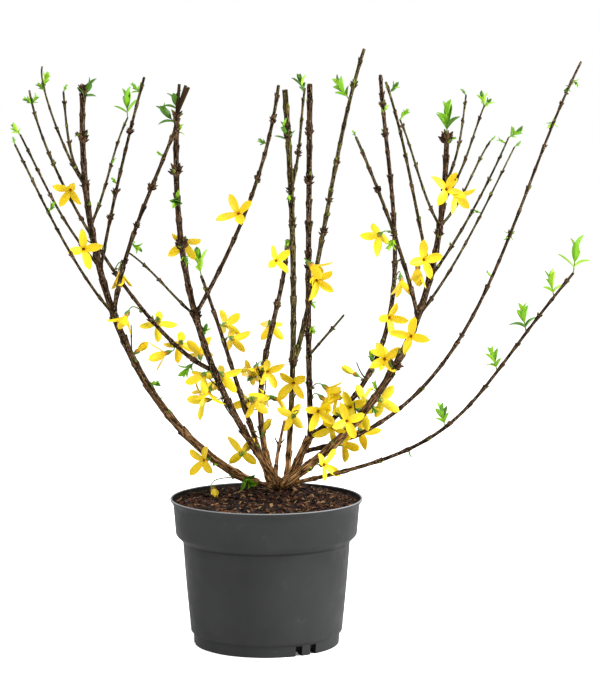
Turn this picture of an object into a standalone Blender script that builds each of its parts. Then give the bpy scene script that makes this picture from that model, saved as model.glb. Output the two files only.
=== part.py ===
"""Forsythia shrub in its nursery pot: the pot, the potting mix, the woody root crown, the bare boughs
and the flowering tops, each as one closed solid.

The origin is the centre of the pot's flat underside. +Z is up, and -Y is the shrub's front.
"""

from collections import namedtuple
from math import ceil, cos, pi, radians, sin

import bmesh
import bpy
import numpy as np
from mathutils import Matrix, Vector
from mathutils.bvhtree import BVHTree

MM = 0.001
GAP = 0.0003  # clearance between two pieces that meet
WELD = 0.00001  # points nearer than this are one

# Pot: a three litre nursery container
POT_HEIGHT = 0.1446
POT_WALL = 0.0020
POT_FLOOR = 0.0050
POT_SEGMENTS = 36
RIM_RADIUS = 0.0950
LIP_DEPTH = 0.0040
LIP_ROUND = 0.0015
BAND_TOP_RADIUS = 0.0915
BAND_FOOT_RADIUS = 0.0895
BAND_FOOT = 0.1090
BODY_TOP_RADIUS = 0.0826
BODY_TOP = 0.1020
BODY_FOOT_RADIUS = 0.0735
FOOT_RADIUS = 0.0717
FOOT_HEIGHT = 0.0120
FOOT_DRAFT = 0.0008
POT_MIDDLE = 0.0550
INNER_HEIGHTS = (BAND_FOOT, BODY_TOP, POT_MIDDLE, FOOT_HEIGHT + 2 * FOOT_DRAFT, FOOT_HEIGHT)
DRAIN_WIDTH = 0.0070
DRAIN_HEIGHT = 0.0100
DRAIN_REACH = 0.0200
DRAIN_GROUPS = 3
DRAIN_FIRST_ANGLE = -57.0  # degrees from +X
DRAIN_HALF_SPREAD = 6.5  # degrees from the middle of a pair to each of its slots

# Potting mix and root crown
SOIL_LEVEL = 0.1408
MOUND_HEIGHT = 0.0067
MOUND_TOP_RADIUS = 0.0290
MOUND_FOOT_RADIUS = 0.0620
SOIL_RINGS = 6
CROWN_CENTRE = (0.0100, 0.0200)
CROWN_RADIUS = 0.0230
CROWN_HEIGHT = 0.0110
CROWN_COLLAR = 0.0150  # length of each stem that belongs to the crown
HEEL_REACH = 0.5  # how far a stem's heel runs in towards the crown's centre
HEEL_SWELL = 1.6  # a heel's radius against its stem's, at its inner end
FOOT_SWELL = 1.2  # and where it meets the stem

# Wood
SIDE_COLLAR = 0.0150  # length of a bough that belongs to the wood it leaves
THICK_WOOD = 0.0024
MIDDLE_WOOD = 0.0016
RING_SPACING = 0.0320
FINE_RING_SPACING = 0.0420
CURVE_STEPS = 120

# Blossom: four lobes on a short tube, on a thin stalk. Under a narrow opening it is still a bud
PETAL_LENGTH = 0.0200
PETAL_WIDTH = 0.0082
PETAL_THICKNESS = 0.0007
TUBE_RADIUS = 0.0016
TUBE_LENGTH = 0.0050
LOBE_ROOT = 0.0012  # depth of the lobes where they spring from the tube
STALK_RADIUS = 0.0006
STALK_BACK = 0.0030  # how far behind the flower a stalk that is led round it turns
STALK_SWING = 0.0050  # and how far beside it
BUD_OPENING = 20  # degrees
BUD_LENGTH = 0.0140
BUD_RADIUS = 0.0036
TURNS_TO_TRY = (0, 20, -20, 40, -40, 60, -60, 90, -90, 120, -120)

# Young leaves
LEAF_WIDTH = 0.30  # against its length
LEAF_THICKNESS = 0.10
LEAF_SPREAD = 32.0  # degrees between a leaf and its shoot
LEAF_ROOT = 0.0004  # how far a leaf's foot is sunk
LONG_SHOOT = 0.0220
SHOOT_RADIUS = 0.0006

# The limbs. A limb leaves its carrier at a share of the carrier's length, first along lead, and reaches
# its tip along swing, so that lead and swing are the handles of one smooth curve. Millimetres.
# A stem of the crown has the place of its foot instead of a carrier.
Limb = namedtuple("Limb", "carrier at lead swing tip foot_radius tip_radius")
LIMBS = {
    "left_arch": Limb(None, (-9, 30, 152), (-135, 5, 60), (10, 5, 155), (-181, 45, 548), 4.5, 2.6),
    "left_inner": Limb(None, (13, 10, 156), (-80, -55, 115), (10, -60, 135), (-78, -150, 522), 4.7, 2.8),
    "left_thin": Limb(None, (3, 34, 155), (-25, 15, 65), (-25, 15, 65), (-67, 80, 358), 2.1, 1.0),
    "back": Limb(None, (6, 42, 157), (-35, 60, 90), (5, 55, 85), (20, 190, 388), 2.7, 1.8),
    "centre": Limb(None, (20, 32, 159), (10, 10, 125), (-10, 10, 130), (18, 60, 545), 3.1, 2.6),
    "fork": Limb(None, (21, 22, 158), (10, -5, 15), (10, -5, 15), (44, 0, 206), 5.2, 3.9),
    "right": Limb(None, (18, 2, 158), (125, -25, 90), (0, -25, 135), (171, -70, 501), 4.6, 2.4),
    "low_right": Limb(None, (26, 4, 158), (175, -80, 50), (100, -80, 140), (282, -150, 377), 1.8, 0.9),
    "pale_stub": Limb(None, (9, -2, 159), (0, -10, 25), (5, -10, 25), (18, -30, 225), 3.0, 1.5),
    "centre_front": Limb("fork", 1.00, (-5, -40, 115), (0, -40, 115), (42, -120, 548), 2.7, 2.4),
    "right_back": Limb("fork", 1.00, (125, 60, 75), (-5, 55, 125), (117, 170, 561), 2.6, 1.8),
    "far_right": Limb("fork", 0.65, (180, 35, 25), (80, 40, 150), (320, 120, 574), 2.1, 0.9),
    "long_left": Limb("left_inner", 0.35, (-60, 65, 10), (-20, 40, 95), (-247, 150, 545), 2.0, 0.9),
    "inner_front": Limb("left_inner", 0.50, (40, -35, 70), (10, -40, 75), (14, -190, 546), 1.9, 0.9),
    "inner_twig": Limb("left_inner", 0.50, (-15, -5, 10), (-20, -15, 15), (-124, -120, 393), 1.4, 0.8),
    "centre_back": Limb("centre", 0.29, (30, 55, 90), (35, 55, 105), (101, 210, 589), 2.5, 1.1),
    "centre_twig": Limb("centre", 0.74, (10, 15, 35), (5, 15, 35), (38, 100, 547), 1.4, 0.9),
    "front_twig": Limb("centre_front", 0.24, (10, -25, 15), (10, -25, 15), (74, -100, 334), 1.4, 0.9),
    "arch_front_twig": Limb("left_arch", 0.50, (-35, -35, 45), (-20, -50, 55), (-230, -110, 493), 1.4, 0.8),
    "arch_low_twig": Limb("left_arch", 0.61, (-35, -15, 40), (-20, -20, 45), (-236, -20, 501), 1.3, 0.8),
    "arch_back_twig": Limb("left_arch", 0.79, (-10, 0, 5), (5, 10, 20), (-230, 120, 569), 1.5, 0.8),
    "arch_top_twig": Limb("left_arch", 0.80, (-15, -10, 10), (0, -20, 25), (-193, -30, 542), 1.3, 0.8),
    "arch_inner_back": Limb("left_arch", 0.70, (15, 30, 35), (15, 30, 35), (-144, 130, 517), 1.5, 0.8),
    "arch_inner_front": Limb("left_arch", 0.60, (15, -35, 65), (20, -40, 60), (-113, -70, 555), 1.6, 0.9),
    "arch_inner_long": Limb("left_arch", 0.50, (10, -15, 70), (25, -15, 65), (-84, 0, 517), 1.9, 0.9),
    "right_front_twig": Limb("right", 0.55, (-15, -35, 60), (-25, -35, 55), (84, -140, 500), 1.9, 0.9),
    "right_top_twig": Limb("right", 0.66, (-15, 20, 60), (-20, 20, 60), (117, 20, 552), 1.6, 0.9),
    "right_nose_twig": Limb("right", 0.78, (-20, -35, 30), (-15, -35, 30), (123, -160, 516), 1.4, 0.8),
    "right_back_twig": Limb("right", 0.88, (15, 15, 25), (5, 20, 30), (194, 0, 539), 1.4, 0.8),
    "right_fork_twig": Limb("right", 0.84, (20, -20, 30), (10, -25, 30), (201, -130, 528), 1.4, 0.8),
    "right_side_twig": Limb("right", 0.78, (25, 35, 20), (20, 35, 25), (222, 50, 494), 1.4, 0.8),
    "right_outer_front": Limb("right", 0.65, (25, -40, 40), (15, -45, 45), (220, -170, 500), 1.6, 0.8),
    "right_outer_back": Limb("right", 0.55, (40, 35, 45), (30, 30, 55), (247, 60, 488), 1.6, 0.8),
}

# The nodes. A bough is the bare foot of a limb, up to a share of its length. A top is the rest of it with
# all that it carries, and any other limb that is named for it.
BOUGHS = {
    "left_arch": 0.36,
    "left_inner": 0.24,
    "left_thin": 0.24,
    "back": 0.24,
    "centre": 0.16,
    "fork": 1.00,
    "right": 0.36,
    "low_right": 0.30,
    "far_right": 0.36,
    "right_back": 0.09,
    "pale_stub": 1.00,
}
OWN_TOPS = ("centre_front", "long_left", "inner_front", "centre_back", "right_front_twig", "right_outer_back")

# Blossom, by limb. The throat of a flower is reached from a share of the limb's length along a heading and
# rise, and the flower faces along face and tilt, its petals turned by roll and opened by an angle. Degrees:
# heading 0 is +X, 90 is +Y and away from the front. The reach is in millimetres.
Bloom = namedtuple("Bloom", "share heading rise face tilt roll opening reach", defaults=(13.5,))
BLOSSOMS = {
    "left_arch": ((0.05, -165, -28, -150, -25, 0, 8, 26), (0.13, -100, -20, -130, 0, 55, 68),
                  (0.41, 0, 15, -10, 40, 0, 8, 9)),
    "arch_low_twig": ((0.14, -90, 5, -70, 5, 10, 68),),
    "long_left": ((0.08, 60, 10, 100, 40, 40, 55), (0.14, 80, 10, 100, -30, 10, 68),
                  (0.17, 200, -70, 170, -20, 0, 55), (0.24, 75, 0, 90, -45, 0, 66),
                  (0.28, 175, -10, -150, -60, 20, 38, 19),
                  (0.43, -55, 0, -90, -80, 0, 26), (0.70, -60, 0, -110, -30, 50, 55)),
    "left_inner": ((0.13, 180, -40, 80, 12, 45, 68), (0.27, 180, -5, -150, 0, 0, 55, 20),
                   (0.29, 180, 0, 160, -70, 10, 68), (0.34, 60, -10, 60, -30, 45, 55),
                   (0.33, 190, 10, 120, -30, 80, 55), (0.68, 80, 10, -95, -40, 30, 68)),
    "inner_front": ((0.46, -110, 10, -110, 30, 30, 68),),
    "left_thin": ((0.25, -20, 0, 0, 65, 0, 14), (0.37, -40, 20, 60, -50, 20, 50),
                  (0.47, -150, 0, -150, 20, 30, 42), (0.76, 60, -5, 60, 0, 50, 55),
                  (0.68, 50, 5, 65, -20, 50, 55)),
    "back": ((0.31, -150, 10, -130, -10, 20, 55), (0.35, -50, -20, 150, -20, 30, 55),
             (0.33, -15, -5, -5, -10, 40, 55, 17),
             (0.47, -140, -20, -150, -50, 60, 55), (0.43, 180, -20, 60, 30, 70, 55),
             (0.45, -75, -10, -50, -10, 30, 62), (0.63, 100, 0, 80, -40, 40, 55),
             (0.90, -140, 10, -60, 20, 30, 68)),
    "centre": ((0.17, -80, -10, 110, -20, 40, 60), (0.25, -85, 0, -95, -20, 40, 68)),
    "centre_front": ((0.08, -55, 0, -80, -20, 60, 58), (0.11, -15, 5, 0, -40, 20, 55),
                     (0.14, -5, 5, 0, -35, 60, 55, 17), (0.46, -55, 5, -65, -20, 60, 58),
                     (0.51, -80, -5, -10, -45, 0, 46)),
    "right_back": ((0.05, -70, -10, -110, -30, 10, 58), (0.08, -60, -5, 0, -40, 35, 55),
                   (0.12, -150, 30, -140, 0, 30, 60), (0.13, -90, -20, -100, 10, 20, 60),
                   (0.15, -40, -20, 140, 20, 60, 68), (0.19, 180, 40, 180, 30, 0, 16),
                   (0.27, -25, -5, 140, -25, 40, 55), (0.37, -95, 0, -60, -10, 85, 60),
                   (0.46, -60, 10, -60, -75, 0, 38)),
    "right": ((0.11, -70, -25, -45, 5, 50, 66), (0.18, 75, -30, 40, -5, 10, 66),
              (0.22, -110, 35, -80, 10, 20, 62), (0.27, 100, 0, 40, -25, 60, 66),
              (0.32, 60, -20, 65, -20, 25, 62), (0.42, 150, 15, -80, 15, 30, 66),
              (0.50, -90, 0, -110, 10, 80, 68), (0.67, 180, 5, -100, -80, 0, 32),
              (0.87, -85, 0, -75, 22, 56, 68), (0.85, -20, 15, -55, -40, 55, 56)),
    "far_right": ((0.12, 90, 0, 65, -30, 70, 62),),
    "right_top_twig": ((0.07, -110, 5, -70, 5, 10, 68),),
    "right_front_twig": ((0.48, 180, -15, 115, -25, 5, 62),),
}
# Young shoots, by limb: share, heading, rise and length in millimetres
SHOOTS = {
    "left_arch": ((0.12, -20, -60, 14), (0.28, 150, 60, 14), (0.33, -10, 10, 16), (0.97, -10, 65, 24)),
    "arch_front_twig": ((0.62, 0, 60, 14),),
    "arch_low_twig": ((1.0, 170, 50, 16),),
    "arch_back_twig": ((0.80, 180, 50, 14), (0.84, -20, 70, 18)),
    "arch_inner_back": ((1.0, -100, 80, 32),),
    "arch_inner_front": ((0.92, 180, 50, 14),),
    "arch_inner_long": ((0.36, -20, -30, 16),),
    "long_left": ((0.96, 175, 40, 14), (0.96, -10, 60, 14), (0.07, 180, -45, 22)),
    "left_inner": ((0.44, -10, 70, 16), (0.66, -20, -65, 15), (0.80, -90, -20, 20), (0.99, 160, 60, 26)),
    "left_thin": ((1.0, 130, 75, 30),),
    "centre": ((0.88, 185, -50, 24), (0.74, -120, -60, 14), (0.62, 180, -50, 14)),
    "centre_twig": ((0.94, 170, 75, 24),),
    "centre_back": ((0.83, 170, 55, 30),),
    "right_back": ((0.24, 175, 75, 16),),
    "far_right": ((0.63, 170, -60, 14), (0.87, 180, -55, 14), (0.95, 180, -60, 12)),
    "right": ((0.09, 200, -60, 14), (0.30, -20, -60, 14), (0.33, 150, 70, 16), (1.0, -80, 85, 34)),
    "right_front_twig": ((0.45, 190, -60, 16),),
    "right_top_twig": ((0.94, 10, 50, 16),),
    "right_nose_twig": ((1.0, 20, 50, 14),),
    "right_fork_twig": ((1.0, 120, 70, 18), (0.98, 0, 50, 14)),
    "right_outer_front": ((1.0, 20, 30, 18),),
    "low_right": ((0.46, 150, 75, 24), (0.67, 140, 70, 26), (0.80, 130, 75, 30), (0.92, 120, 70, 26),
                  (1.0, 60, 75, 34)),
}
# Swollen joints with clustered buds: share of the limb's length, and half width in millimetres
KNOBS = {
    "left_arch": ((0.89, 7.5),),
    "left_inner": ((0.50, 5.5), (0.68, 7.0), (0.86, 7.0), (1.0, 5.5)),
    "centre": ((0.30, 5.0),),
    "right": ((0.41, 6.5), (1.0, 7.5)),
}
CUT_STUBS = ((70, 30), (35, 45), (110, 50))  # heading and rise of the pruned stubs on the inner left stem
CUT_STUB_LENGTH = 0.026
CUT_STUB_RADIUS = 0.0024

BARK = ("bark", (0.060, 0.034, 0.020, 1), 0.75)
PETAL = ("petal", (0.90, 0.62, 0.020, 1), 0.50)
LEAF = ("young_leaf", (0.16, 0.46, 0.045, 1), 0.50)
POT_PLASTIC = ("pot_plastic", (0.045, 0.046, 0.048, 1), 0.45)
MIX = ("potting_mix", (0.055, 0.030, 0.018, 1), 0.95)


def remove_everything():
    for obj in list(bpy.data.objects):
        bpy.data.objects.remove(obj)


def material(finish):
    """The material of a finish: its name, base colour and roughness."""
    name, colour, roughness = finish
    made = bpy.data.materials.get(name)
    if made is None:
        made = bpy.data.materials.new(name)
        made.use_nodes = True
        shader = made.node_tree.nodes["Principled BSDF"]
        shader.inputs["Base Color"].default_value = colour
        shader.inputs["Roughness"].default_value = roughness
        shader.inputs["Metallic"].default_value = 0.0
        made.diffuse_color = colour
    return made


def mesh_object(name, bm, *finishes):
    """A new object from a bmesh, which is freed. Its faces take the first finish."""
    mesh = bpy.data.meshes.new(name)
    bmesh.ops.recalc_face_normals(bm, faces=bm.faces)
    bm.to_mesh(mesh)
    bm.free()
    for finish in finishes:
        mesh.materials.append(material(finish))
    obj = bpy.data.objects.new(name, mesh)
    bpy.context.scene.collection.objects.link(obj)
    return obj


def direction(heading, rise):
    """Unit vector from a heading and a rise in degrees."""
    flat = cos(radians(rise))
    return Vector((flat * cos(radians(heading)), flat * sin(radians(heading)), sin(radians(rise))))


def frame_along(axis):
    """Rotation that takes +Z to the axis."""
    return axis.to_track_quat("Z", "Y").to_matrix().to_4x4()


class Wood:
    """A limb's centre line and thickness, read at any share of its length."""

    def __init__(self, name, limb, foot):
        self.name = name
        self.limb = limb
        tip = Vector(limb.tip) * MM
        handles = [foot, foot + Vector(limb.lead) * MM, tip - Vector(limb.swing) * MM, tip]
        t = np.linspace(0, 1, CURVE_STEPS + 1)[:, None]
        weights = ((1 - t) ** 3, 3 * (1 - t) ** 2 * t, 3 * (1 - t) * t**2, t**3)
        self.points = sum(weight * np.array(handle) for weight, handle in zip(weights, handles))
        steps = np.linalg.norm(np.diff(self.points, axis=0), axis=1)
        self.distance = np.concatenate([[0], np.cumsum(steps)])
        self.length = self.distance[-1]

    def point(self, share):
        where = min(max(share, 0), 1) * self.length
        return Vector([np.interp(where, self.distance, self.points[:, i]) for i in range(3)])

    def heading(self, share):
        return (self.point(min(share + 0.01, 1)) - self.point(max(share - 0.01, 0))).normalized()

    def radius(self, share):
        foot, tip = self.limb.foot_radius, self.limb.tip_radius
        return (foot + (tip - foot) * share**0.8) * MM

    def sides(self):
        foot = self.limb.foot_radius * MM
        return 7 if foot > THICK_WOOD else 5 if foot > MIDDLE_WOOD else 4


def grow():
    """Every limb's wood, each from its foot on its carrier."""
    grown = {}
    for name, limb in LIMBS.items():
        foot = grown[limb.carrier].point(limb.at) if limb.carrier else Vector(limb.at) * MM
        grown[name] = Wood(name, limb, foot)
    return grown


def add_walls(bm, points, headings, radii, sides, across):
    """Walls of a tube through the points, each ring square to its heading and turned evenly along the tube.

    The first point of the first ring lies towards across. Returns the rings.
    """
    rings = []
    turns = [2 * pi * k / sides for k in range(sides)]
    for point, ahead, radius in zip(points, headings, radii):
        across = (across - ahead * across.dot(ahead)).normalized()
        up = ahead.cross(across)
        rings.append([bm.verts.new(point + (across * cos(a) + up * sin(a)) * radius) for a in turns])
    for low, high in zip(rings, rings[1:]):
        for k in range(sides):
            bm.faces.new((low[k], low[(k + 1) % sides], high[(k + 1) % sides], high[k]))
    return rings


def tube(points, headings, radii, sides):
    """Closed tube through the points."""
    bm = bmesh.new()
    rings = add_walls(bm, points, headings, radii, sides, headings[0].orthogonal())
    bm.faces.new(reversed(rings[0]))
    bm.faces.new(rings[-1])
    return bm


def stretch(wood, start, end):
    """The wood between two distances from its foot, in metres."""
    spacing = RING_SPACING if wood.sides() > 5 else FINE_RING_SPACING
    count = max(2, ceil((end - start) / spacing) + 1)
    shares = np.linspace(start, end, count) / wood.length
    headings = [wood.heading(s) for s in shares]
    return tube([wood.point(s) for s in shares], headings, [wood.radius(s) for s in shares], wood.sides())


def stalk_path(base, foot, facing):
    """Points from the wood to a flower's foot, led round the flower where it faces back at the wood."""
    if (foot - base).normalized().dot(facing) > -0.5:
        return [base, foot]
    side = facing.orthogonal().normalized()
    return [base, foot - facing * STALK_BACK + side * STALK_SWING, foot]


def blossom(base, throat, facing, roll, opening):
    """One closed shape: four lobes or a closed bud, the tube behind it and the stalk down to the base."""
    closed = opening < BUD_OPENING
    points = [throat, *reversed(stalk_path(base, throat - facing * TUBE_LENGTH, facing))]
    radii = [TUBE_RADIUS] + [STALK_RADIUS] * (len(points) - 1)
    if closed:
        points = [throat + facing * BUD_LENGTH, throat + facing * BUD_LENGTH * 0.4] + points
        radii = [STALK_RADIUS, BUD_RADIUS] + radii
    spans = [(end - start).normalized() for start, end in zip(points, points[1:])]
    turns = [(before + after).normalized() for before, after in zip(spans, spans[1:])]
    corner = frame_along(facing).to_3x3() @ direction(roll + 45, 0)
    bm = bmesh.new()
    rings = add_walls(bm, points, [spans[0], *turns, spans[-1]], radii, 4, corner)
    bm.faces.new(rings[-1])
    if closed:
        bm.faces.new(reversed(rings[0]))
    else:
        add_lobes(bm, rings[0], throat, facing, radians(opening))
    return bm


def add_lobes(bm, ring, throat, facing, opening):
    """Four lobes with thick middles that spring from the ring, opened by an angle from the tube's line."""
    heart = bm.verts.new(throat + facing * LOBE_ROOT)
    notches = [bm.verts.new(throat + (vert.co - throat) * 1.25 + facing * LOBE_ROOT * 0.8) for vert in ring]
    for k in range(4):
        before, after = ring[k], ring[(k + 1) % 4]
        outward = (before.co + after.co - throat * 2).normalized()
        sideways = (after.co - before.co).normalized()
        lobe = outward * sin(opening) + facing * cos(opening)
        upwards = facing * sin(opening) - outward * cos(opening)
        middle = throat + lobe * PETAL_LENGTH * 0.55
        left, right = (bm.verts.new(middle + sideways * side * PETAL_WIDTH / 2) for side in (-1, 1))
        top, under = (bm.verts.new(middle + upwards * side * PETAL_THICKNESS / 2) for side in (1, -1))
        tip = bm.verts.new(throat + lobe * PETAL_LENGTH)
        edge = [notches[k], left, tip, right, notches[(k + 1) % 4]]
        for rib, loop in ((top, [heart, *edge]), (under, [before, *edge, after])):
            for first, second in zip(loop, loop[1:] + loop[:1]):
                bm.faces.new((rib, second, first) if rib is top else (rib, first, second))


def leaf(base, along, facing, length):
    """Eight-faced blade with a thick middle, its foot at the base."""
    bm = bmesh.new()
    sideways = along.cross(facing).normalized()
    facing = sideways.cross(along).normalized()
    middle = base + along * length * 0.5
    foot, tip = bm.verts.new(base), bm.verts.new(base + along * length)
    left = bm.verts.new(middle - sideways * length * LEAF_WIDTH / 2)
    right = bm.verts.new(middle + sideways * length * LEAF_WIDTH / 2)
    top = bm.verts.new(middle + facing * length * LEAF_THICKNESS / 2)
    under = bm.verts.new(middle - facing * length * LEAF_THICKNESS / 2)
    for rib, loop in ((top, (foot, left, tip, right)), (under, (foot, right, tip, left))):
        for k in range(4):
            bm.faces.new((rib, loop[(k + 1) % 4], loop[k]))
    return bm


def shoot_pieces(base, towards, length, turn):
    """The closed shapes of a shoot: one pair of leaves, or a short stem with two pairs if it is long."""
    if length < LONG_SHOOT:
        pairs = ((base, length, LEAF_SPREAD, turn),)
        pieces = []
    else:
        stem = towards * length * 0.45
        pairs = ((base + stem * 0.45, length * 0.45, LEAF_SPREAD + 10, turn),
                 (base + stem * 0.85, length * 0.62, LEAF_SPREAD, turn + 90))
        pieces = [tube([base, base + stem], [towards] * 2, [SHOOT_RADIUS, SHOOT_RADIUS * 0.6], 3)]
    for joint, blade, spread, start in pairs:
        for side in (0, 180):
            outward = Matrix.Rotation(radians(start + side), 3, towards) @ towards.orthogonal().normalized()
            along = (towards * cos(radians(spread)) + outward * sin(radians(spread))).normalized()
            pieces.append(leaf(joint - along * LEAF_ROOT, along, towards, blade))
    return pieces


def knob(wood, share, half_width):
    """Lump of crowded buds round a joint of the wood."""
    bm = bmesh.new()
    bmesh.ops.create_icosphere(bm, subdivisions=1, radius=1)
    shape = Matrix.Diagonal((half_width, half_width, half_width * 0.95, 1))
    place = Matrix.Translation(wood.point(share)) @ frame_along(wood.heading(share)) @ shape
    bmesh.ops.transform(bm, matrix=place, verts=bm.verts)
    return bm


class Plant:
    """The closed shapes of each node, and a search tree of each, so that nothing new touches them."""

    def __init__(self):
        self.wood = grow()
        self.pieces = {}
        self.trees = []

    def add(self, node, bm, finish):
        self.pieces.setdefault(node, []).append((bm, finish))
        self.trees.append((node, BVHTree.FromBMesh(bm)))

    def is_clear(self, node, shapes):
        """Whether grown copies of the shapes miss every other node."""
        for bm in shapes:
            grown = bm.copy()
            bmesh.ops.recalc_face_normals(grown, faces=grown.faces)
            grown.normal_update()
            for vert in grown.verts:
                vert.co += vert.normal * 2 * GAP
            tree = BVHTree.FromBMesh(grown)
            grown.free()
            if any(tree.overlap(other) for name, other in self.trees if name != node):
                return False
        return True

    def node_at(self, name, share):
        """The node that holds this share of a limb."""
        if name in BOUGHS and share <= BOUGHS[name]:
            return name + "_bough"
        return self.top_of(name)

    def top_of(self, name):
        if name in BOUGHS or name in OWN_TOPS:
            return name + "_top"
        limb = LIMBS[name]
        return self.node_at(limb.carrier, limb.at)


def add_wood(plant):
    """Every limb, cut into what its carrier holds, its bare bough and its top."""
    for name, wood in plant.wood.items():
        limb = wood.limb
        start = 0.0
        if limb.carrier is None:
            start = CROWN_COLLAR
            plant.add("root_crown", stretch(wood, 0, start), BARK)
        elif name in BOUGHS or name in OWN_TOPS:
            start = SIDE_COLLAR
            plant.add(plant.node_at(limb.carrier, limb.at), stretch(wood, 0, start), BARK)
        start += GAP if start else 0
        end = BOUGHS.get(name, 0) * wood.length
        if end:
            plant.add(name + "_bough", stretch(wood, start, end), BARK)
            start = end + GAP
        if BOUGHS.get(name, 0) < 1:
            plant.add(plant.top_of(name), stretch(wood, start, wood.length), BARK)


def add_knobs(plant):
    for name, rows in KNOBS.items():
        for share, half_width in rows:
            bm = knob(plant.wood[name], share, half_width * MM)
            plant.add(plant.node_at(name, share), bm, BARK)
    wood = plant.wood["left_inner"]
    head = wood.point(1.0)
    for heading, rise in CUT_STUBS:
        lean = (direction(heading, rise) * 0.5 + Vector((0, 0, 1))).normalized()
        ends = [head, head + lean * CUT_STUB_LENGTH]
        stub = tube(ends, [lean] * 2, [CUT_STUB_RADIUS, CUT_STUB_RADIUS * 0.8], 5)
        plant.add("left_inner_top", stub, BARK)


def add_blossoms(plant):
    """Each blossom, turned a little at a time until it misses its neighbours, or left out."""
    for name, rows in BLOSSOMS.items():
        wood = plant.wood[name]
        for row in rows:
            bloom = Bloom(*row)
            node = plant.node_at(name, bloom.share)
            base = wood.point(bloom.share)
            for turn in TURNS_TO_TRY:
                throat = base + direction(bloom.heading + turn, bloom.rise) * bloom.reach * MM
                facing = direction(bloom.face + turn, bloom.tilt)
                bm = blossom(base, throat, facing, bloom.roll, bloom.opening)
                if plant.is_clear(node, [bm]):
                    plant.add(node, bm, PETAL)
                    break
                bm.free()
            else:
                print("left out a blossom of", name, bloom.share)


def add_shoots(plant):
    for name, rows in SHOOTS.items():
        wood = plant.wood[name]
        for share, heading, rise, length in rows:
            node = plant.node_at(name, share)
            for turn in TURNS_TO_TRY:
                towards = direction(heading + turn, rise)
                shapes = shoot_pieces(wood.point(share), towards, length * MM, 29 * len(plant.trees) % 180)
                if plant.is_clear(node, shapes):
                    for bm in shapes:
                        plant.add(node, bm, LEAF)
                    break
                for bm in shapes:
                    bm.free()
            else:
                print("left out a shoot of", name, share)


def add_crown(plant):
    """The woody foot that the stems share: a low dome, and a heel that widens down from each stem."""
    dome = bmesh.new()
    bmesh.ops.create_icosphere(dome, subdivisions=2, radius=1)
    centre = Vector((*CROWN_CENTRE, crown_foot()))
    shape = Matrix.Diagonal((CROWN_RADIUS, CROWN_RADIUS, CROWN_HEIGHT, 1))
    bmesh.ops.transform(dome, matrix=Matrix.Translation(centre) @ shape, verts=dome.verts)
    plant.add("root_crown", dome, BARK)
    for name, wood in plant.wood.items():
        if wood.limb.carrier:
            continue
        above = CROWN_COLLAR / 2 / wood.length
        foot = wood.point(0)
        inner = foot.lerp(centre, HEEL_REACH)
        headings = [(foot - inner).normalized(), wood.heading(0), wood.heading(above)]
        radius = wood.radius(0)
        radii = [radius * HEEL_SWELL, radius * FOOT_SWELL, wood.radius(above)]
        plant.add("root_crown", tube([inner, foot, wood.point(above)], headings, radii, 6), BARK)


def crown_foot():
    """Height of the flat cut under the root crown."""
    return SOIL_LEVEL + MOUND_HEIGHT + GAP


def largest_body(mesh):
    """Leaves only the largest body of the mesh, so that loose scraps go and sealed hollows fill."""
    bm = bmesh.new()
    bm.from_mesh(mesh)
    left = set(bm.verts)
    bodies = []
    while left:
        body = {left.pop()}
        edge = list(body)
        while edge:
            for link in edge.pop().link_edges:
                for vert in link.verts:
                    if vert in left:
                        left.discard(vert)
                        body.add(vert)
                        edge.append(vert)
        bodies.append(body)
    bodies.sort(key=lambda body: volume({face for vert in body for face in vert.link_faces}))
    for body in bodies[:-1]:
        bmesh.ops.delete(bm, geom=list(body), context="VERTS")
    bm.to_mesh(mesh)
    bm.free()


def volume(faces):
    """Volume that the faces enclose."""
    total = 0
    for face in faces:
        corners = [vert.co for vert in face.verts]
        for second, third in zip(corners[1:], corners[2:]):
            total += corners[0].dot(second.cross(third)) / 6
    return total


def is_closed(mesh):
    """Whether each edge of the mesh has two faces, also once its near points are made one."""
    bm = bmesh.new()
    bm.from_mesh(mesh)
    bmesh.ops.triangulate(bm, faces=bm.faces)
    bmesh.ops.remove_doubles(bm, verts=bm.verts, dist=WELD)
    closed = all(edge.is_manifold for edge in bm.edges)
    bm.free()
    return closed


def union_of(name, shapes, solver):
    """The mesh of the union of closed shapes, each a bmesh and its finish."""
    objects = [mesh_object(f"{name}_{i}", bm.copy(), finish) for i, (bm, finish) in enumerate(shapes)]
    base, others = objects[0], objects[1:]
    group = bpy.data.collections.new(name + "_shapes")
    bpy.context.scene.collection.children.link(group)
    for obj in others:
        bpy.context.scene.collection.objects.unlink(obj)
        group.objects.link(obj)
    if others:
        union = base.modifiers.new("Join", "BOOLEAN")
        union.operation = "UNION"
        union.operand_type = "COLLECTION"
        union.collection = group
        union.solver = solver
        union.material_mode = "TRANSFER"
    graph = bpy.context.evaluated_depsgraph_get()
    mesh = bpy.data.meshes.new_from_object(base.evaluated_get(graph))
    for obj in objects:
        bpy.data.objects.remove(obj)
    bpy.data.collections.remove(group)
    return mesh


def fuse(name, shapes):
    """One closed solid from a node's shapes. The second solver is for where the first leaves a fault."""
    mesh = union_of(name, shapes, "EXACT")
    if not is_closed(mesh):
        mesh = union_of(name, shapes, "MANIFOLD")
    largest_body(mesh)
    mesh.name = name
    for bm, _ in shapes:
        bm.free()
    fused = bpy.data.objects.new(name, mesh)
    bpy.context.scene.collection.objects.link(fused)
    return fused


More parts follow.
